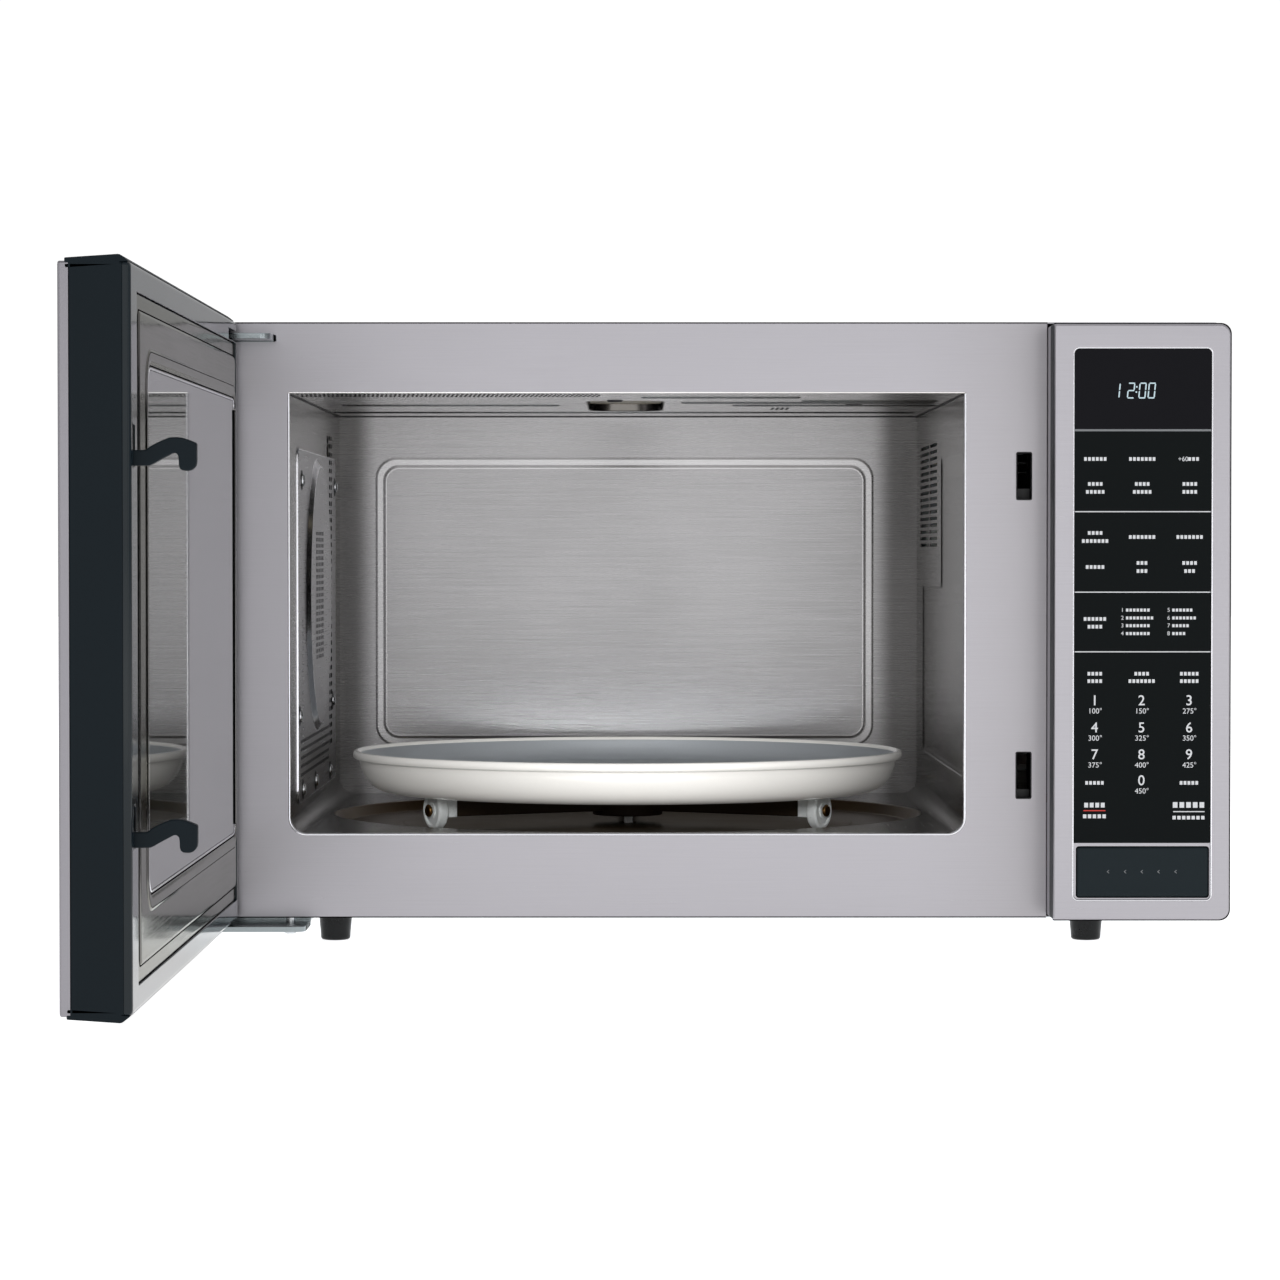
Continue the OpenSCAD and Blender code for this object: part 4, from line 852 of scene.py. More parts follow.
p = Piece("door_body_frame")
Z0, Z1 = DB, DT
def dsec(w, a, r=1.6):
    return rr(YE + a, Z0 + a, min(yend(w), YH) - a, Z1 - a, r, 6), w
secs = [dsec(XO + 5.4, 0.5), dsec(XO + 5.75, 0.12), dsec(XO + 6.2, 0.0)]
w_ = HX
secs += [dsec(w_, 0.0)] + [dsec(HX + k, 0.0) for k in (2, 4, 6, 8, 9.6)] + [dsec(XI - 4.75, 0.0), dsec(XI - 4.6, 0.15)]
inner = [(rr(YE + 2.5, Z0 + 2.5, min(yend(w), YH) - 2.5, Z1 - 2.5, 1.0, 6), w) for w in (XI - 4.6, XI - 6, XI - 8, HX, XO + 5.4)]
shell = loft("yz", secs + inner, closed=True)
pockets = lambda: [block((XO + 5.0, YH - 57, 365.3), (XI + 2, YH + 3, 371.7), 0), ]
p.add(cut(shell, pockets()), "door_plastic")
# raised lips along the top and the bottom edge
for s, zz in ((1, LT), (-1, LB)):
    prof = [(-314.6, zz - s * 3.2), (-314.6, zz - s * 0.5), (-314.45, zz - s * 0.15), (-314.1, zz), (-289.2, zz), (-288.3, zz - s * 0.15), (-287.6, zz - s * 0.5),
            (-284.7, zz - s * 2.75), (-284.3, zz - s * 3.2)]
    prof2 = [(-314.6, zz - s * 3.2), (-314.6, zz - s * 0.5), (-314.45, zz - s * 0.15), (-314.1, zz), (-299.6, zz), (-299.0, zz - s * 0.15), (-298.6, zz - s * 0.5), (-298.4, zz - s * 2.75), (-298.4, zz - s * 3.2)]
    tilt = lambda x: -s * 1.7 * min(max((-289.0 - x) / 25.6, 0.0), 1.0)
    prof = [(x, z + tilt(x)) for x, z in prof]
    prof2 = [(x, z + tilt(x)) for x, z in prof2]
    def shrink(pr, q):
        return [(min(max(x, -314.6 + q), (-284.3 if pr is prof else -298.4) - q), z - s * q * 0.5) for x, z in pr]
    p.add(loft("xz", [(shrink(prof, 0.5), YE + 0.05), (shrink(prof, 0.12), YE + 0.2), (prof, YE + 0.55), (prof, HY - 0.6 if s > 0 else -299.2)]), "door_plastic")
    if s > 0:
        p.add(loft("xz", [(prof2, HY - 0.7), (prof2, YH - 2.4), (shrink(prof2, 0.4), YH - 1.9)]), "door_plastic")
    # narrow ledge under the lip, as on the end face
    zl = zz - s * 3.2
    p.add(loft("xz", [([(-314.2, zl + tilt(-314.2)), (-288.6, zl), (-288.2, zl - s * 1.0), (-288.9, zl - s * 1.6), (-313.8, zl - s * 1.6 + tilt(-314)), (-314.2, zl - s * 1.0 + tilt(-314))], y) for y in (YE - 0.0, YE + 3.0)]), "door_plastic")
# window tunnel, ribs and hinge blocks inside
tun = [(rr(YE + 37, 57, YH - 55, 339, 6, 6), XO + 5.5), (rr(YE + 37, 57, YH - 55, 339, 6, 6), XI - 10.6), (rr(YE + 40, 60, YH - 58, 336, 4, 6), XI - 10.6), (rr(YE + 40, 60, YH - 58, 336, 4, 6), XO + 5.5)]
p.add(loft("yz", tun, closed=True), "door_plastic")
p.add(plate("yz", [rr(YE + 1.5, Z0 + 1.5, YH - 1.5, Z1 - 1.5, 2, 6), rr(YE + 38, 58, YH - 56, 338, 5, 6)], XO + 5.35, XO + 7.7, 0.3), "door_plastic")
for z in (40, 60, 190, 320):
    p.add(block((XO + 6, YE + 2, z), (XI - 19 if z > 40 else XI - 5, YE + 20, z + 3), 0.4), "door_plastic")
for z0, z1, c0 in ((DB + 0.8, 31, 28.0), (349, DT - 0.8, 350.5)):
    b_ = block((XO + 6, YH - 27, z0), (HX + 7.0, YH - 0.3, z1), 1.0)
    c_ = [lathe("z", (HX, HY, 0), [(5.05, z0 - 3), (5.05, z1 + 3), (0, z1 + 3), (0, z0 - 3)], 32)]
    if z0 > 300:
        c_.append(block((XO + 5.0, YH - 57, 365.3), (XI + 2, YH + 3, 371.7), 0))
    p.add(cut(b_, c_), "door_plastic")
p.done("door", "door_plastic", "door_frame")

p = Piece("door_choke_cover")
def csec(w, a, r=2.0):
    return rr(YE + a, Z0 + a, min(yend(w), yend(XI - 0.4) + 1.2) - a * 0.5, Z1 - a, r, 6), w
secs = [csec(XI - 4.5, 0.1), csec(XI - 4.3, 0.0), csec(XI - 2.6, 0.0), csec(XI - 1.7, 0.22), csec(XI - 1.1, 0.65), csec(XI - 0.68, 1.2), csec(XI - 0.45, 1.9), csec(XI - 0.4, 2.6)]
O = (YE + 24, 29.5, HY, 364.5)
secs += [(rr(O[0] - 0.5, O[1] - 0.5, O[2] + 0.5, O[3] + 0.5, [2.5, 2.5, 0.5, 0.5], 6), XI - 0.4), (rr(O[0] - 0.15, O[1] - 0.15, O[2] + 0.15, O[3] + 0.15, [2.1, 2.1, 0.2, 0.2], 6), XI - 0.5),
         (rr(*O, [2, 2, 0.2, 0.2], 6), XI - 0.9), (rr(*O, [2, 2, 0.2, 0.2], 6), XI - 4.5)]
ring = loft("yz", secs, closed=True)
tools = [block((XI - 7, HKX - 3.6, a), (XI + 2, HKX + 3.6, b), 0) for a, b in ((280, 300.2), (97, 117))]
tools += [block((XI - 7, YH - 57, 364.9), (XI + 2, YH + 3, 371.7), 0)]
p.add(cut(ring, tools), "choke_plastic")
# turned lips of the two hook slots
for a, b in ((280, 300.2), (97, 117)):
    s2 = [(rr(HKX - 3.6 - q, a - q, HKX + 3.6 + q, b + q, 0.8 + q, 3), w) for q, w in ((0.0, XI - 4.4), (0.0, XI - 0.42), (0.25, XI - 0.22), (0.9, XI - 0.22), (1.15, XI - 0.41), (1.15, XI - 0.8), (0.5, XI - 4.4))]
    p.add(loft("yz", s2, closed=True), "choke_plastic")
p.done("door", "door_plastic", "choke_cover")

p = Piece("door_inner_steel_panel")
WY0, WY1 = YE + 69, YH - 22.5
def W(d, w):
    k = 0.30 if d > 0 else 1.0
    q = max(0.6, d)
    return rr(WY0 - d, 70.5 - d, WY1 + d * k, 330 + d, [10 + d, max(8 + d * 0.5, 1), max(8 + d * 0.5, 1), 10 + d], 8), w
def L(d, w):
    return rr(YE + 24.4 + d, 29.9 + d, HY - 0.4 - d, 364.1 - d, [2, 2, 0.6, 0.6], 8), w
def Pl(d, w):
    return rr(YE + 36 + d, 37.5 + d, HY - 3.0 - d * 0.5, 356.5 - d, 3.2, 8), w
top_ = [L(0, XI - 4.2), L(0, XI - 1.95), L(0.12, XI - 1.68), L(0.5, XI - 1.5), L(2.0, XI - 1.5), Pl(-0.6, XI - 1.5), Pl(0.2, XI - 1.42), Pl(1.2, XI - 0.8), Pl(2.2, XI - 0.6),
        W(10.2, XI - 0.6), W(9.4, XI - 0.5), W(8.4, XI - 0.12), W(7.6, XI - 0.02), W(4.2, XI - 0.02), W(3.4, XI - 0.12), W(2.4, XI - 0.6), W(1.6, XI - 0.72), W(0.5, XI - 0.75), W(0.1, XI - 0.9), W(-0.05, XI - 1.2), W(-0.05, XI - 2.3)]
low_ = [(l_, w_ - 0.75) for l_, w_ in top_[2:-1]][::-1]
p.add(loft("yz", top_ + [W(0.7, XI - 2.3)] + low_[1:-1] + [L(0.8, XI - 4.2)], closed=True), "door_panel_steel")
# window edge: rolled bead, coloured near-white as a painted highlight
p.add(loft("yz", [W(a, w) for a, w in ((0.55, XI - 0.8), (0.35, XI - 0.5), (-0.1, XI - 0.42), (-0.5, XI - 0.65), (-0.62, XI - 1.2), (-0.5, XI - 2.2), (0.3, XI - 2.2))], closed=True), "rim_highlight_steel")
# black strips by the hinge and round the panel: painted shade of the sealing grooves and gaps
p.add(block((XI - 1.6, -247.6, 76), (XI - 0.12, -246.4, 324), 0.15), "painted_shade_black")
for k0, wa, wb in ((7.9, XI - 0.45, XI - 0.06), (1.3, XI - 0.95, XI - 0.55)):
    p.add(loft("yz", [W(k0 + 0.45, wa), W(k0 + 0.35, wb), W(k0 - 0.35, wb + 0.02), W(k0 - 0.45, wa)], closed=True), "painted_shade_black")
p.add(loft("yz", [Pl(-0.5, XI - 1.7), Pl(-0.45, XI - 1.38), Pl(0.45, XI - 1.33), Pl(0.5, XI - 1.7)], closed=True), "painted_shade_black")
# painted shade: a black ring in the gap inside the choke cover's opening
g = [(rr(O[0] + 0.02 + a, O[1] + 0.02 + a, O[2] - 0.02 - a, O[3] - 0.02 - a, [2, 2, 0.2, 0.2], 6), w) for a, w in ((0.0, XI - 4.4), (0.0, XI - 2.4), (0.36, XI - 2.4), (0.36, XI - 4.4))]
p.add(loft("yz", g, closed=True), "painted_shade_black")
p.done("door", "cavity_steel", "door_inner_panel")

p = Piece("door_inner_glass")
p.add(plate("yz", [rr(WY0 + 0.7, 71.2, WY1 - 0.7, 329.3, [9, 7, 7, 9], 6)], XI - 5.2, XI - 0.9, 0.2, 2), "inner_glass")
p.done("door", "inner_glass", "inner_glass")

# hooks on one sliding head
p = Piece("door_latch_hooks")
hook = [(-12, 2.5), (4, 2.4), (7.5, 2.5), (9.7, 3.6), (14.1, 6.1), (18.5, 8.4), (19.6, 8.5), (20.4, 8.1), (21.1, 7.2), (21.35, 5), (21.4, 2.6), (21.9, 1), (23, 0.2), (24.6, 0), (26.3, 0), (27.9, 0.6),
        (29.3, 2), (29.8, 3.4), (29.9, 5), (29.9, 12.6), (29.5, 13.4), (26.5, 14.7), (23.2, 15.8), (20, 16.1), (16.8, 15.9), (12, 13.9), (7.6, 11.6), (6.6, 10.7), (5.6, 10), (4.4, 9.9), (-12, 10)]
for z in (278, 95):
    p.add(plate("xz", [[(XI + a, z + b) for a, b in hook]], HKX - 2.8, HKX + 2.8, 0.75, 3), "door_plastic")
    p.add(plate("xz", [[(XI - 11.5, z + 0.5), (XI - 3.2, z + 1.6), (XI - 3.2, z + 11), (XI - 11.5, z + 13)]], HKX - 1.4, HKX + 1.4, 0.3, 2), "door_plastic")
p.add(block((XI - 16, HKX - 4, 84), (XI - 9, HKX + 4.5, 306), 0.8, 3), "door_plastic")
p.done("latch", "door_plastic", "latch_head")

# ------------------------------------------------------------------ control panel
REC = (218.6, 31.2, 300.7, 360.5)
p = Piece("panel_steel_frame")
def po(a, w):
    return rr(PL + a, PB + a, PR - a, PT - a, [1.0, 6.5 - min(a, 2), 6.5 - min(a, 2), 1.0], 8), w
def pi_(a, w, r=3.0):
    return rr(REC[0] - a, REC[1] - a, REC[2] + a, REC[3] + a, r + a, 8), w
secs = [po(0, YF + 0.5), po(0, YQ + 1.5), po(0.12, YQ + 0.85), po(0.45, YQ + 0.35), po(0.95, YQ + 0.07), po(1.5, YQ), pi_(1.0, YQ), pi_(0.55, YQ + 0.06), pi_(0.2, YQ + 0.26), pi_(0.0, YQ + 0.6), pi_(0.0, YQ + 1.25), pi_(1.2, YQ + 1.28), po(1.2, YQ + 1.3), po(1.2, YF + 0.5)]
p.add(loft("xz", secs, closed=True), "brushed_front")
# painted highlight: the inner rim round the keypad and display in the near-white steel
p.add(loft("xz", [pi_(a, w) for a, w in ((0.55, YQ - 0.0), (0.3, YQ - 0.06), (-0.05, YQ + 0.1), (-0.28, YQ + 0.45), (-0.28, YQ + 1.1), (0.3, YQ + 1.1))], closed=True), "rim_highlight_steel")
# dark shadow line of the moulding behind the steel frame
po2 = lambda a, w: (rr(PL + 0.3, PB + a, PR - a, PT - a, [0.3, 6.5, 6.5, 0.3], 8), w)
p.add(loft("xz", [po2(-0.45, YQ + 1.0), po2(-0.45, YQ + 6.0), po2(0.9, YQ + 6.0), po2(0.9, YQ + 1.0)], closed=True), "painted_shade_black")
# black moulding seen along the left side, between the steel and the front plate
p.add(plate("yz", [rr(YQ + 1.2, PB + 0.6, YQ + 20, PT - 0.6, 0.5, 3)], PL - 0.05, PL + 0.2, 0.01, 0), "door_plastic")
p.done("root", "brushed_front", "panel_frame")


def text(body, x, z, size, w0, w1, align="CENTER", shear=0.0, bold=0.0):
    cu = bpy.data.curves.new("t", "FONT")
    cu.body = body
    cu.size = size
    cu.align_x = align
    cu.align_y = "CENTER"
    cu.extrude = abs(w1 - w0) / 2
    cu.shear = shear
    cu.offset = bold
    cu.resolution_u = 4
    ob = bpy.data.objects.new("t", cu)
    scene.collection.objects.link(ob)
    dg = bpy.context.evaluated_depsgraph_get()
    me = bpy.data.meshes.new_from_object(ob.evaluated_get(dg))
    bm = bmesh.new()
    bm.from_mesh(me)
    bpy.data.objects.remove(ob)
    bpy.data.curves.remove(cu)
    bpy.data.meshes.remove(me)
    bmesh.ops.remove_doubles(bm, verts=bm.verts, dist=1e-4)
    for v in bm.verts:
        v.co = Vector((v.co.x + x, v.co.z + (w0 + w1) / 2, v.co.y + z))
    bmesh.ops.recalc_face_normals(bm, faces=bm.faces)
    return bm


def dashes(x, z, n, pitch=2.05, h=2.5, t=0.62, align=0.5, seed=1):
    """A caption as plain placeholder marks: n small upright blocks, no letters."""
    out = []
    pitch = pitch * 1.14
    x0 = x - n * pitch * align
    g = 0.30 * pitch
    for i in range(n):
        a = x0 + i * pitch + g / 2
        b = a + pitch - g
        out.append([(a, z - h * 0.43), (b, z - h * 0.43), (b, z + h * 0.43), (a, z + h * 0.43)])
    return out


KF = YQ + 0.55
def flat(loops, mat, w0=KF, th=0.09):
    bm = bmesh.new()
    for lp in loops:
        n = len(lp)
        f = [bm.verts.new((a, w0, b)) for a, b in lp]
        g = [bm.verts.new((a, w0 + th, b)) for a, b in lp]
        bm.faces.new(f)
        bm.faces.new(g)
        for i in range(n):
            j = (i + 1) % n
            bm.faces.new((f[i], f[j], g[j], g[i]))
    bmesh.ops.recalc_face_normals(bm, faces=bm.faces)
    return bm


p = Piece("panel_keypad_film")
p.add(plate("xz", [rr(218.9, 65.2, 300.4, 311.4, 0.6, 3)], YQ + 0.6, YQ + 1.3, 0.2, 2), "keypad")
c1, c2, c3 = 231.2, 259.2, 287.6
white = []
for x, z, n in ((c1, 294.5, 6), (c2, 294.5, 7), (c1, 279.6, 4), (c2, 279.6, 4), (c3, 279.6, 4), (c1, 274.9, 5), (c2, 274.9, 5), (c3, 274.9, 4),
                (c1, 250.4, 4), (c1, 245.6, 7), (c2, 248.0, 7), (c3, 248.0, 7), (c1, 230.1, 5), (c2, 232.5, 3), (c2, 227.7, 3), (c3, 232.5, 4), (c3, 227.7, 3),
                (c1, 199.1, 6), (c1, 194.5, 4), (c1, 166.4, 4), (c1, 162.0, 4), (c2, 166.4, 4), (c2, 162.0, 7), (c3, 166.4, 5), (c3, 162.0, 5),
                (c1, 101.2, 5), (c3, 101.2, 5)):
    white += dashes(x, z, n, seed=int(x + z))
white += dashes(289.8, 294.5, 3, seed=5)
for k, z in enumerate((204.4, 199.7, 195.1, 190.4)):
    white += dashes(249.4, z, (7, 8, 7, 7)[k], pitch=1.85, h=2.1, t=0.5, align=0, seed=k + 2)
    white += dashes(277.0, z, (6, 7, 5, 4)[k], pitch=1.85, h=2.1, t=0.5, align=0, seed=k + 5)
    p.add(text("1234"[k], 247.6, z, 3.4, KF, KF + 0.09), "legend")
    p.add(text("5678"[k], 275.2, z, 3.4, KF, KF + 0.09), "legend")
p.add(text("+60", 283.6, 294.4, 3.9, KF, KF + 0.09), "legend")
# heavier captions of the two lowest pads
for x, z, n, pt, h, t in ((c1, 87.9, 4, 2.9, 3.3, 0.95), (c1, 81.2, 5, 2.55, 2.7, 0.8), (c3 - 0.2, 88.0, 5, 3.5, 3.9, 1.0), (c3 - 0.2, 80.4, 7, 2.5, 2.5, 0.75)):
    white += dashes(x, z, n, pitch=pt, h=h, t=t, seed=n)
p.add(flat(white, "legend"), "legend")
D3 = [(c1, c2, c3)]
for (x, z, d, s) in ((c1, 150.2, "1", "100"), (c2, 150.2, "2", "150"), (c3, 150.2, "3", "275"), (c1, 134.0, "4", "300"), (c2, 134.0, "5", "325"), (c3, 134.0, "6", "350"),
                     (c1, 117.9, "7", "375"), (c2, 117.9, "8", "400"), (c3, 117.9, "9", "425"), (c2, 102.4, "0", "450")):
    p.add(text(d, x, z, 8.6, KF, KF + 0.09, bold=0.05), "legend")
    p.add(text(s + "°", x + 0.3, z - 6.2, 4.5, KF, KF + 0.09), "legend")
# dividing lines
p.add(flat([[(219.2, 262.8), (300.1, 262.8), (300.1, 263.4), (219.2, 263.4)], [(219.2, 214.8), (300.1, 214.8), (300.1, 215.4), (219.2, 215.4)],
            [(219.2, 179.2), (300.1, 179.2), (300.1, 179.8), (219.2, 179.8)], [(278.2, 83.7), (297.0, 83.7), (297.0, 84.3), (278.2, 84.3)]], "legend"), "legend")
p.add(flat([[(224.6, 84.3), (237.8, 84.3), (237.8, 84.9), (224.6, 84.9)]], "legend_red"), "legend_red")
p.done("root", "keypad", "keypad_membrane")

p = Piece("panel_display_window")
p.add(plate("xz", [rr(218.9, 312.0, 300.4, 360.2, [0.4, 0.4, 2.7, 2.7], 5)], YQ + 0.5, YQ + 1.3, 0.22, 3), "display_glass")
p.add(plate("xz", [rr(218.9, 311.0, 300.4, 312.3, 0.3, 3)], YQ + 0.42, YQ + 1.2, 0.2, 2), "divider")
SEG = {"1": "bc", "2": "abged", "0": "abcdef"}
def seg(d, x, w, z0, z1, t=0.76):
    zm = (z0 + z1) / 2
    g = 0.16
    sl = math.tan(math.radians(5.2))
    H = {"a": z1 - t / 2, "g": zm, "d": z0 + t / 2}
    loops = []
    for k in SEG[d]:
        if k in H:
            zc = H[k]
            l = [(x + g + 0.25, zc), (x + t / 2 + g + 0.25, zc - t / 2), (x + w - t / 2 - g, zc - t / 2), (x + w - g, zc), (x + w - t / 2 - g, zc + t / 2), (x + t / 2 + g + 0.25, zc + t / 2)]
        else:
            xc = x + t / 2 if k in "ef" else x + w - t / 2
            a, b = (zm, z1 - t / 2) if k in "bf" else (z0 + t / 2, zm)
            a, b = a + g, b - g
            l = [(xc, a), (xc + t / 2, a + t / 2), (xc + t / 2, b - t / 2), (xc, b), (xc - t / 2, b - t / 2), (xc - t / 2, a + t / 2)]
        loops.append([(u + (v - z0) * sl - 0.6, v) for u, v in l])
    return loops
dl = []
z0, z1 = 330.5, 340.0
for d, x, w_ in (("1", 241.7, 4.4), ("2", 250.4, 4.35), ("0", 257.2, 4.4), ("0", 262.7, 4.4)):
    dl += seg(d, x, w_, z0, z1)
for z in (333.9, 337.0):
    dl.append([(254.75 + (z - z0) * 0.09 + a, z + b) for a, b in ((0, 0), (0.9, 0), (0.95, 0.9), (0.05, 0.9))])
p.add(flat(dl, "display_digit", w0=YQ + 0.44, th=0.1), "display_digit")
p.done("root", "display_glass", "display_window")

p = Piece("door_open_button_key")
def bt(a, w, r=1.6):
    return rr(220.8 + a, 32.9 + a, 299.3 - a, 62.7 - a, max(r - a * 0.4, 0.5), 6), w
p.add(loft("xz", [bt(1.8, YQ + 12), bt(0.0, YQ + 12), bt(0, YQ + 1.9), bt(0.12, YQ + 1.45), bt(0.45, YQ + 1.12), bt(1.0, YQ + 0.95), bt(1.8, YQ + 0.9), bt(6, YQ + 0.9)] , cap=True), "button_plastic")
for x in (239.3, 249.5, 259.5, 269.5, 279.7):
    p.add(flat([[(x + 0.75, 49.2), (x - 0.55, 48.2), (x - 0.55, 47.9), (x + 0.75, 46.9), (x + 0.75, 47.4), (x - 0.05, 48.05), (x + 0.75, 48.7)]], "divider", w0=YQ + 0.86, th=0.08), "divider")
p.add(block((223.5, YQ + 3.3, 57), (228.5, -214 - 5.5, 61), 0.5, 2), "button_plastic")
p.add(lathe("x", (0, -214 - 5.5, 59), rnd([(0.0, 223.5), (2, 223.5), (2, 228.5), (0, 228.5)], 0.4), 24), "button_plastic")
p.done("button", "button_plastic", "open_button")

# ------------------------------------------------------------------ turntable
p = Piece("turntable_tray")
TB, RZ, TR = AXLE + 12.3, 109.2, 180.6
under = [(0, TB + 1.4), (24.4, TB + 1.4), (24.8, TB - 2.2), (28.2, TB - 2.2), (28.6, TB + 1.4), (127, TB + 1.4), (129.5, TB), (149.2, TB), (150.2, TB - 2.9), (151.0, TB - 3.4), (156.4, TB - 3.4), (160.0, TB - 3.0), (163.6, TB - 2.0),
         (166.6, TB - 0.5), (169.0, TB + 1.3), (171.0, TB + 3.4), (172.8, TB + 6.0), (174.2, TB + 8.8), (175.2, TB + 11.4), (176.0, TB + 14.2), (176.6, RZ - 6.4), (177.6, RZ - 5.4), (179.6, RZ - 5.1), (TR - 0.25, RZ - 4.2), (TR, RZ - 2.8), (TR - 0.25, RZ - 1.3), (TR - 1.1, RZ - 0.3), (TR - 2.4, RZ), (TR - 3.7, RZ - 0.55), (TR - 4.7, RZ - 2.1)]
inner = [(TR - 4.7, RZ - 2.1), (175.2, RZ - 3.4), (173.6, RZ - 7.0), (170.9, RZ - 11.0), (166.2, RZ - 13.8), (158, RZ - 15.1), (150, RZ - 15.2)]
foot_ = under[:1] + rnd(under[0:8] + [], 0.7, 2)[1:-1] + under[7:]
bmt = lathe("z", (TX, TY, 0), foot_ + inner[1:] + [(60, RZ - 15.2), (0, RZ - 15.2)], 160)
me_ = bmt
p.mats = ["tray", "tray_floor"]
for f in me_.faces:
    c = f.calc_center_median()
    r = math.hypot(c.x - TX, c.y - TY)
    f.material_index = 1 if (c.z > RZ - 15.4 and r < 175.6 and c.z < RZ - 2.2 and f.normal.z > 0.12) else 0
me = bpy.data.meshes.new("t")
me_.to_mesh(me)
me_.free()
p.bm.from_mesh(me)
bpy.data.meshes.remove(me)
p.done("tray", "tray", "tray", angle=40)

AR = (210, 330, 90)
p = Piece("turntable_roller_support")
def arm(a):
    prof = [(16, 69.2), (137.4, 69.2), (138.2, 70.0), (138.2, 78.4), (136.4, 80.2), (120, 80.2), (112, 78.2), (26, 78.2), (20, 81.5), (16, 81.5)]
    bm = plate("xz", [prof], -5.6, 5.6, 0.9, 3)
    c_ = cut(bm, [lathe("x", (0, 0, AXLE), [(2.62, 118), (2.62, 141), (0, 141), (0, 118)], 20), block((34, -2.6, 72.6), (110, 2.6, 79.5), 0.0), ])
    turn(c_, "Z", a, (0, 0, 0))
    return move(c_, (TX, TY, 0))
for a in AR:
    p.add(arm(a), "support_dark")
    e_ = cut(plate("xz", [[(130.2, 68.9), (138.2, 68.9), (139.0, 69.6), (139.0, 80.6), (137.6, 82.2), (131.4, 82.2), (130.2, 81.2)]], -7.6, 7.6, 0.9, 3),
             [lathe("x", (0, 0, AXLE), [(2.62, 112), (2.62, 145), (0, 145), (0, 112)], 20)])
    turn(e_, "Z", a, (0, 0, 0))
    p.add(move(e_, (TX, TY, 0)), "support_plastic")
hub = rnd([(0, 66.1), (21.6, 66.1), (23, 67.4), (23, 82.2), (21.8, 83.5), (15, 83.5), (14.2, 81.0), (0, 81.0)], 0.5, 2)
p.add(lathe("z", (TX, TY, 0), rnd([(3.7, 66.1), (22.4, 66.1), (23, 66.7), (23, 82.6), (22.2, 83.5), (16, 83.5), (15, 81.2), (3.7, 81.2)], 0.6, 3), 64), "support_dark")
p.done("support", "support_plastic", "roller_support")

p = Piece("turntable_roller_pins")
for a in AR:
    b = lathe("x", (0, 0, AXLE), rnd([(0, 119.8), (2.5, 119.8), (2.5, 146.6), (4.0, 146.7), (4.0, 147.7), (3.2, 148.4), (0, 148.4)], 0.3, 2), 28)
    turn(b, "Z", a, (0, 0, 0))
    p.add(move(b, (TX, TY, 0)), "pins")
p.done("support", "pins", "roller_pins")
for i, a in enumerate(AR):
    p = Piece("turntable_roller_%d" % (i + 1))
    R0 = 141.9 - 3.6
    prof = rnd([(2.56, 0), (4.9, 0), (4.9, 0.9), (8.6, 0.9), (9.4, 0), (10.9, 0), (12.0, 1.1), (12.0, 6.1), (10.9, 7.2), (9.4, 7.2), (8.6, 6.3), (4.9, 6.3), (4.9, 7.2), (2.56, 7.2)], 0.35, 3)
    b = lathe("x", (0, 0, AXLE), [(r, w + R0) for r, w in prof], 48)
    turn(b, "Z", a, (0, 0, 0))
    p.add(move(b, (TX, TY, 0)), "support_plastic")
    p.done("roller_%d" % (i + 1), "support_plastic", "roller_%d" % (i + 1))

p = Piece("turntable_drive_shaft")
# three-lobed coupler on the motor shaft
lob = []
for i in range(48):
    t = 2 * pi * i / 48
    lob.append((3.0 + 0.5 * math.cos(3 * t)) )
secs = []
for z, k in ((49, 0.9), (49.6, 1.0), (79.2, 1.0), (80, 0.86)):
    secs.append(([(TX + lob[i] * k * math.cos(2 * pi * i / 48), TY + lob[i] * k * math.sin(2 * pi * i / 48)) for i in range(48)], z))
p.add(loft("xy", secs), "white_plastic")
p.done("support", "white_plastic", "turntable_shaft")

# ------------------------------------------------------------------ feet and hinges
p = Piece("levelling_feet")
for x in (-228, 235):
    for y in (YF + 42, YB - 40):
        prof = [(0, 0.0), (6.8, 0.0), (8.4, 0.35), (9.1, 1.4), (9.3, 5), (9.8, 10), (10.1, 13.6), (10.5, 14.9), (11, 15.3), (11, 17.1), (3.0, 17.15), (3.0, 19.6), (2.4, 20.2), (0, 20.2)]
        p.add(lathe("z", (x, y, 0), rnd(prof, 0.5, 3), 48), "feet")
p.done("root", "feet", "feet")


def leaf(x1, z0, z1):
    pts = []
    for i in range(25):
        t = math.radians(90 + 180 * i / 24)
        pts.append((HX + 13 * math.cos(t), HY + 13 * math.sin(t)))
    pts += [(x1 - 6, HY - 13)] + [(x1 - 6 + 6 * math.sin(math.radians(a)), HY - 7 - 6 * math.cos(math.radians(a))) for a in (15, 30, 45, 60, 75)] + [(x1, HY - 7), (x1, YF + 6), (HX - 12.9, YF + 6), (HX - 12.9, HY + 0.5)]
    return pts


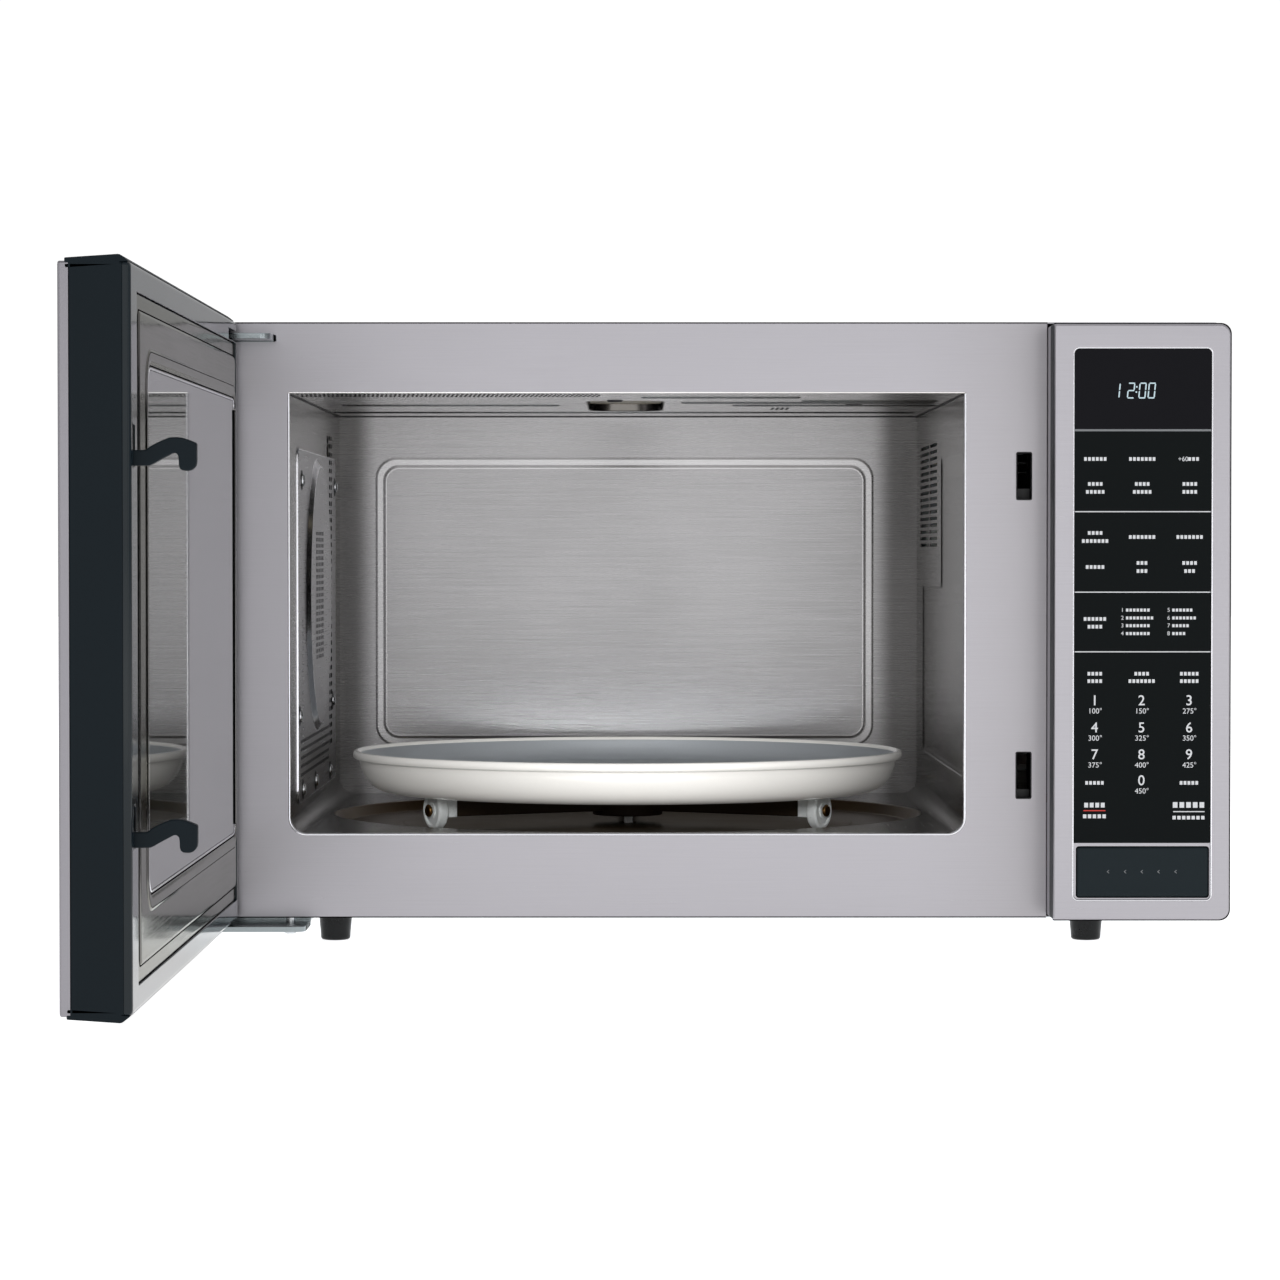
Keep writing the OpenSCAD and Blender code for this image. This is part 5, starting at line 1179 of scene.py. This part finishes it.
p = Piece("door_hinge_upper")
def leaf_loop(x1):
    pts = []
    for i in range(13):
        t = math.radians(180 + 90 * i / 12)
        pts.append((HX + 13 * math.cos(t), HY + 13 * math.sin(t)))
    pts += [(x1 - 6 + 6 * math.sin(math.radians(a)), HY - 7 - 6 * math.cos(math.radians(a))) for a in (0, 15, 30, 45, 60, 75, 90)]
    pts += [(x1, YF + 6), (HX - 12.95, YF + 6)]
    return pts
p.add(plate("xy", [leaf_loop(-261.4), ], 366.6, 370, 0.4, 2), "zinc_plate")
p.add(plate("xz", [rr(HX - 12.9, 338, -262, 369.9, [3, 3, 0.5, 0.5], 5), circ(-300, 350, 2.2, 20), circ(-274, 350, 2.2, 20)], YP + 0.1, YP + 2.3, 0.25, 2), "zinc_plate")
p.add(lathe("z", (HX, HY, 0), rnd([(0, 352), (2.4, 352), (3, 352.6), (3, 366.7), (5, 369.95), (5, 370.6), (4.2, 371.0), (0, 371.0)], 0.25, 2), 32), "zinc_plate")
for x in (-300, -274):
    p.add(screw("y", (x, YP + 2.3, 350), 3.6, 1.8, 1), "screw_steel")
p.done("root", "zinc_plate", "upper_hinge")

p = Piece("door_hinge_lower")
p.add(plate("xy", [leaf_loop(-241.0)], 11.2, 14.6, 0.4, 2), "zinc_plate")
p.add(plate("yz", [[(YF + 3.0, 11.3), (YF + 15.6, 11.3), (YF + 16, 11.7), (YF + 16, ZB - 3.5), (YF + 43.6, ZB - 3.5), (YF + 44, ZB - 3.0), (YF + 44, ZB - 0.05), (YF + 12.4, ZB - 0.05), (YF + 12, ZB - 0.5), (YF + 12, 14.5), (YF + 3, 14.5)]], HX - 12.9, -241, 0.35, 2), "zinc_plate")
p.add(lathe("z", (HX, HY, 0), rnd([(0, 9.6), (4.4, 9.6), (5, 10.2), (5, 11.3), (3, 14.5), (3, 27.4), (2.4, 28), (0, 28)], 0.25, 2), 32), "zinc_plate")
p.add(screw("z", (-253, YF + 7, 11.2), 5.0, 4.4, -1), "screw_steel")
p.add(lathe("z", (-253, YF + 7, 0), rnd([(2.6, 10.9), (6.4, 10.9), (6.4, 11.25), (2.6, 11.25)], 0.1, 1), 32), "zinc_plate")
p.add(lathe("z", (-253, YF + 7, 0), [(0, 11), (2.5, 11), (2.5, ZB + 3), (0, ZB + 3)], 20), "screw_steel")
p.done("root", "zinc_plate", "lower_hinge")

# ------------------------------------------------------------------ floor, light, camera
def stage_floor():
    bm = bmesh.new()
    n = 24
    pts = [[bm.verts.new((x * 0.5, y * 0.5, 0.0)) for x in range(-n, n + 1)] for y in range(-n, n + 1)]
    for j in range(2 * n):
        for i in range(2 * n):
            bm.faces.new((pts[j][i], pts[j][i + 1], pts[j + 1][i + 1], pts[j + 1][i]))
    me = bpy.data.meshes.new("floor")
    bm.to_mesh(me)
    o = bpy.data.objects.new("floor", me)
    scene.collection.objects.link(o)
    m = surface("floor", (0.93, 0.93, 0.93), 0.9, 0.0, gs=40, gcol=0.004, mcol=0.004, mott=2, bump=0.01, spec=0.1, emit=(1.0, 1.0, 1.0), emit_s=0.85)
    me.materials.append(m)


stage_floor()


def area(name, loc, target, size, power, color=(1, 1, 1), size_y=None):
    d = bpy.data.lights.new(name, "AREA")
    d.energy = power
    d.color = color
    d.size = size
    if size_y:
        d.shape = "RECTANGLE"
        d.size_y = size_y
    o = bpy.data.objects.new(name, d)
    scene.collection.objects.link(o)
    o.location = loc
    o.rotation_euler = (Vector(target) - Vector(loc)).to_track_quat("-Z", "Y").to_euler()
    return o


area("front_softbox", (-0.04, -3.9, 0.28), (-0.04, 0, 0.24), 2.4, 11.5, size_y=1.6)
area("right_softbox", (1.9, -3.0, 0.6), (0, 0, 0.2), 1.4, 6)
area("left_softbox", (-2.2, -2.6, 0.6), (0, 0, 0.2), 1.4, 2)
area("top", (0.1, 0.5, 2.4), (0, 0, 0), 2.0, 6)
# narrow light from above the camera on to the tray
d = bpy.data.lights.new("tray_spot", "SPOT")
d.energy = 205
d.spot_size = math.radians(15.0)
d.spot_blend = 0.4
d.shadow_soft_size = 0.3
o = bpy.data.objects.new("tray_spot", d)
scene.collection.objects.link(o)
o.location = (-0.2, -2.95, 0.72)
o.rotation_euler = (Vector((-0.048, -0.1, 0.085)) - Vector(o.location)).to_track_quat("-Z", "Y").to_euler()

# it is meant for the white tray only, so the steel round it keeps its even tone
lit = bpy.data.collections.new("tray_light_targets")
for q in list(scene.objects):
    if q.name.startswith(("turntable_tray", "turntable_roller")):
        lit.objects.link(q)
o.light_linking.receiver_collection = lit

# even studio surround: a little brighter above than below; the backdrop the camera sees is plain white
w = bpy.data.worlds.new("studio")
w.use_nodes = True
wt = w.node_tree
wt.nodes.clear()
wo = wt.nodes.new("ShaderNodeOutputWorld")
bg = wt.nodes.new("ShaderNodeBackground")
bw = wt.nodes.new("ShaderNodeBackground")
mx = wt.nodes.new("ShaderNodeMixShader")
lp = wt.nodes.new("ShaderNodeLightPath")
tc = wt.nodes.new("ShaderNodeTexCoord")
sp = wt.nodes.new("ShaderNodeSeparateXYZ")
cr = wt.nodes.new("ShaderNodeValToRGB")
mr = wt.nodes.new("ShaderNodeMapRange")
mr.inputs["From Min"].default_value = -1.0
wt.links.new(tc.outputs["Generated"], sp.inputs[0])
wt.links.new(sp.outputs["Z"], mr.inputs["Value"])
wt.links.new(mr.outputs[0], cr.inputs[0])
e = cr.color_ramp.elements
e[0].position, e[0].color = 0.30, (0.42, 0.42, 0.43, 1)
e[1].position, e[1].color = 0.75, (0.90, 0.90, 0.91, 1)
k = cr.color_ramp.elements.new(0.5)
k.color = (0.68, 0.68, 0.69, 1)
wt.links.new(cr.outputs[0], bg.inputs[0])
bg.inputs[1].default_value = 0.63
bw.inputs[0].default_value = (1, 1, 1, 1)
bw.inputs[1].default_value = 1.05
wt.links.new(lp.outputs["Is Camera Ray"], mx.inputs[0])
wt.links.new(bg.outputs[0], mx.inputs[1])
wt.links.new(bw.outputs[0], mx.inputs[2])
wt.links.new(mx.outputs[0], wo.inputs[0])
scene.world = w

cam = bpy.data.cameras.new("camera")
cam.lens = 112.11
cam.sensor_width = 36.0
cam.sensor_fit = "HORIZONTAL"
cam.clip_start = 0.05
cam.clip_end = 60
co = bpy.data.objects.new("camera", cam)
scene.collection.objects.link(co)
co.location = (-0.04282, -2.63458, 0.2394)
co.rotation_euler = (math.radians(90 - 1.273), 0, math.radians(-0.062))
scene.camera = co
scene.view_settings.view_transform = "Standard"

bpy.context.view_layer.update()
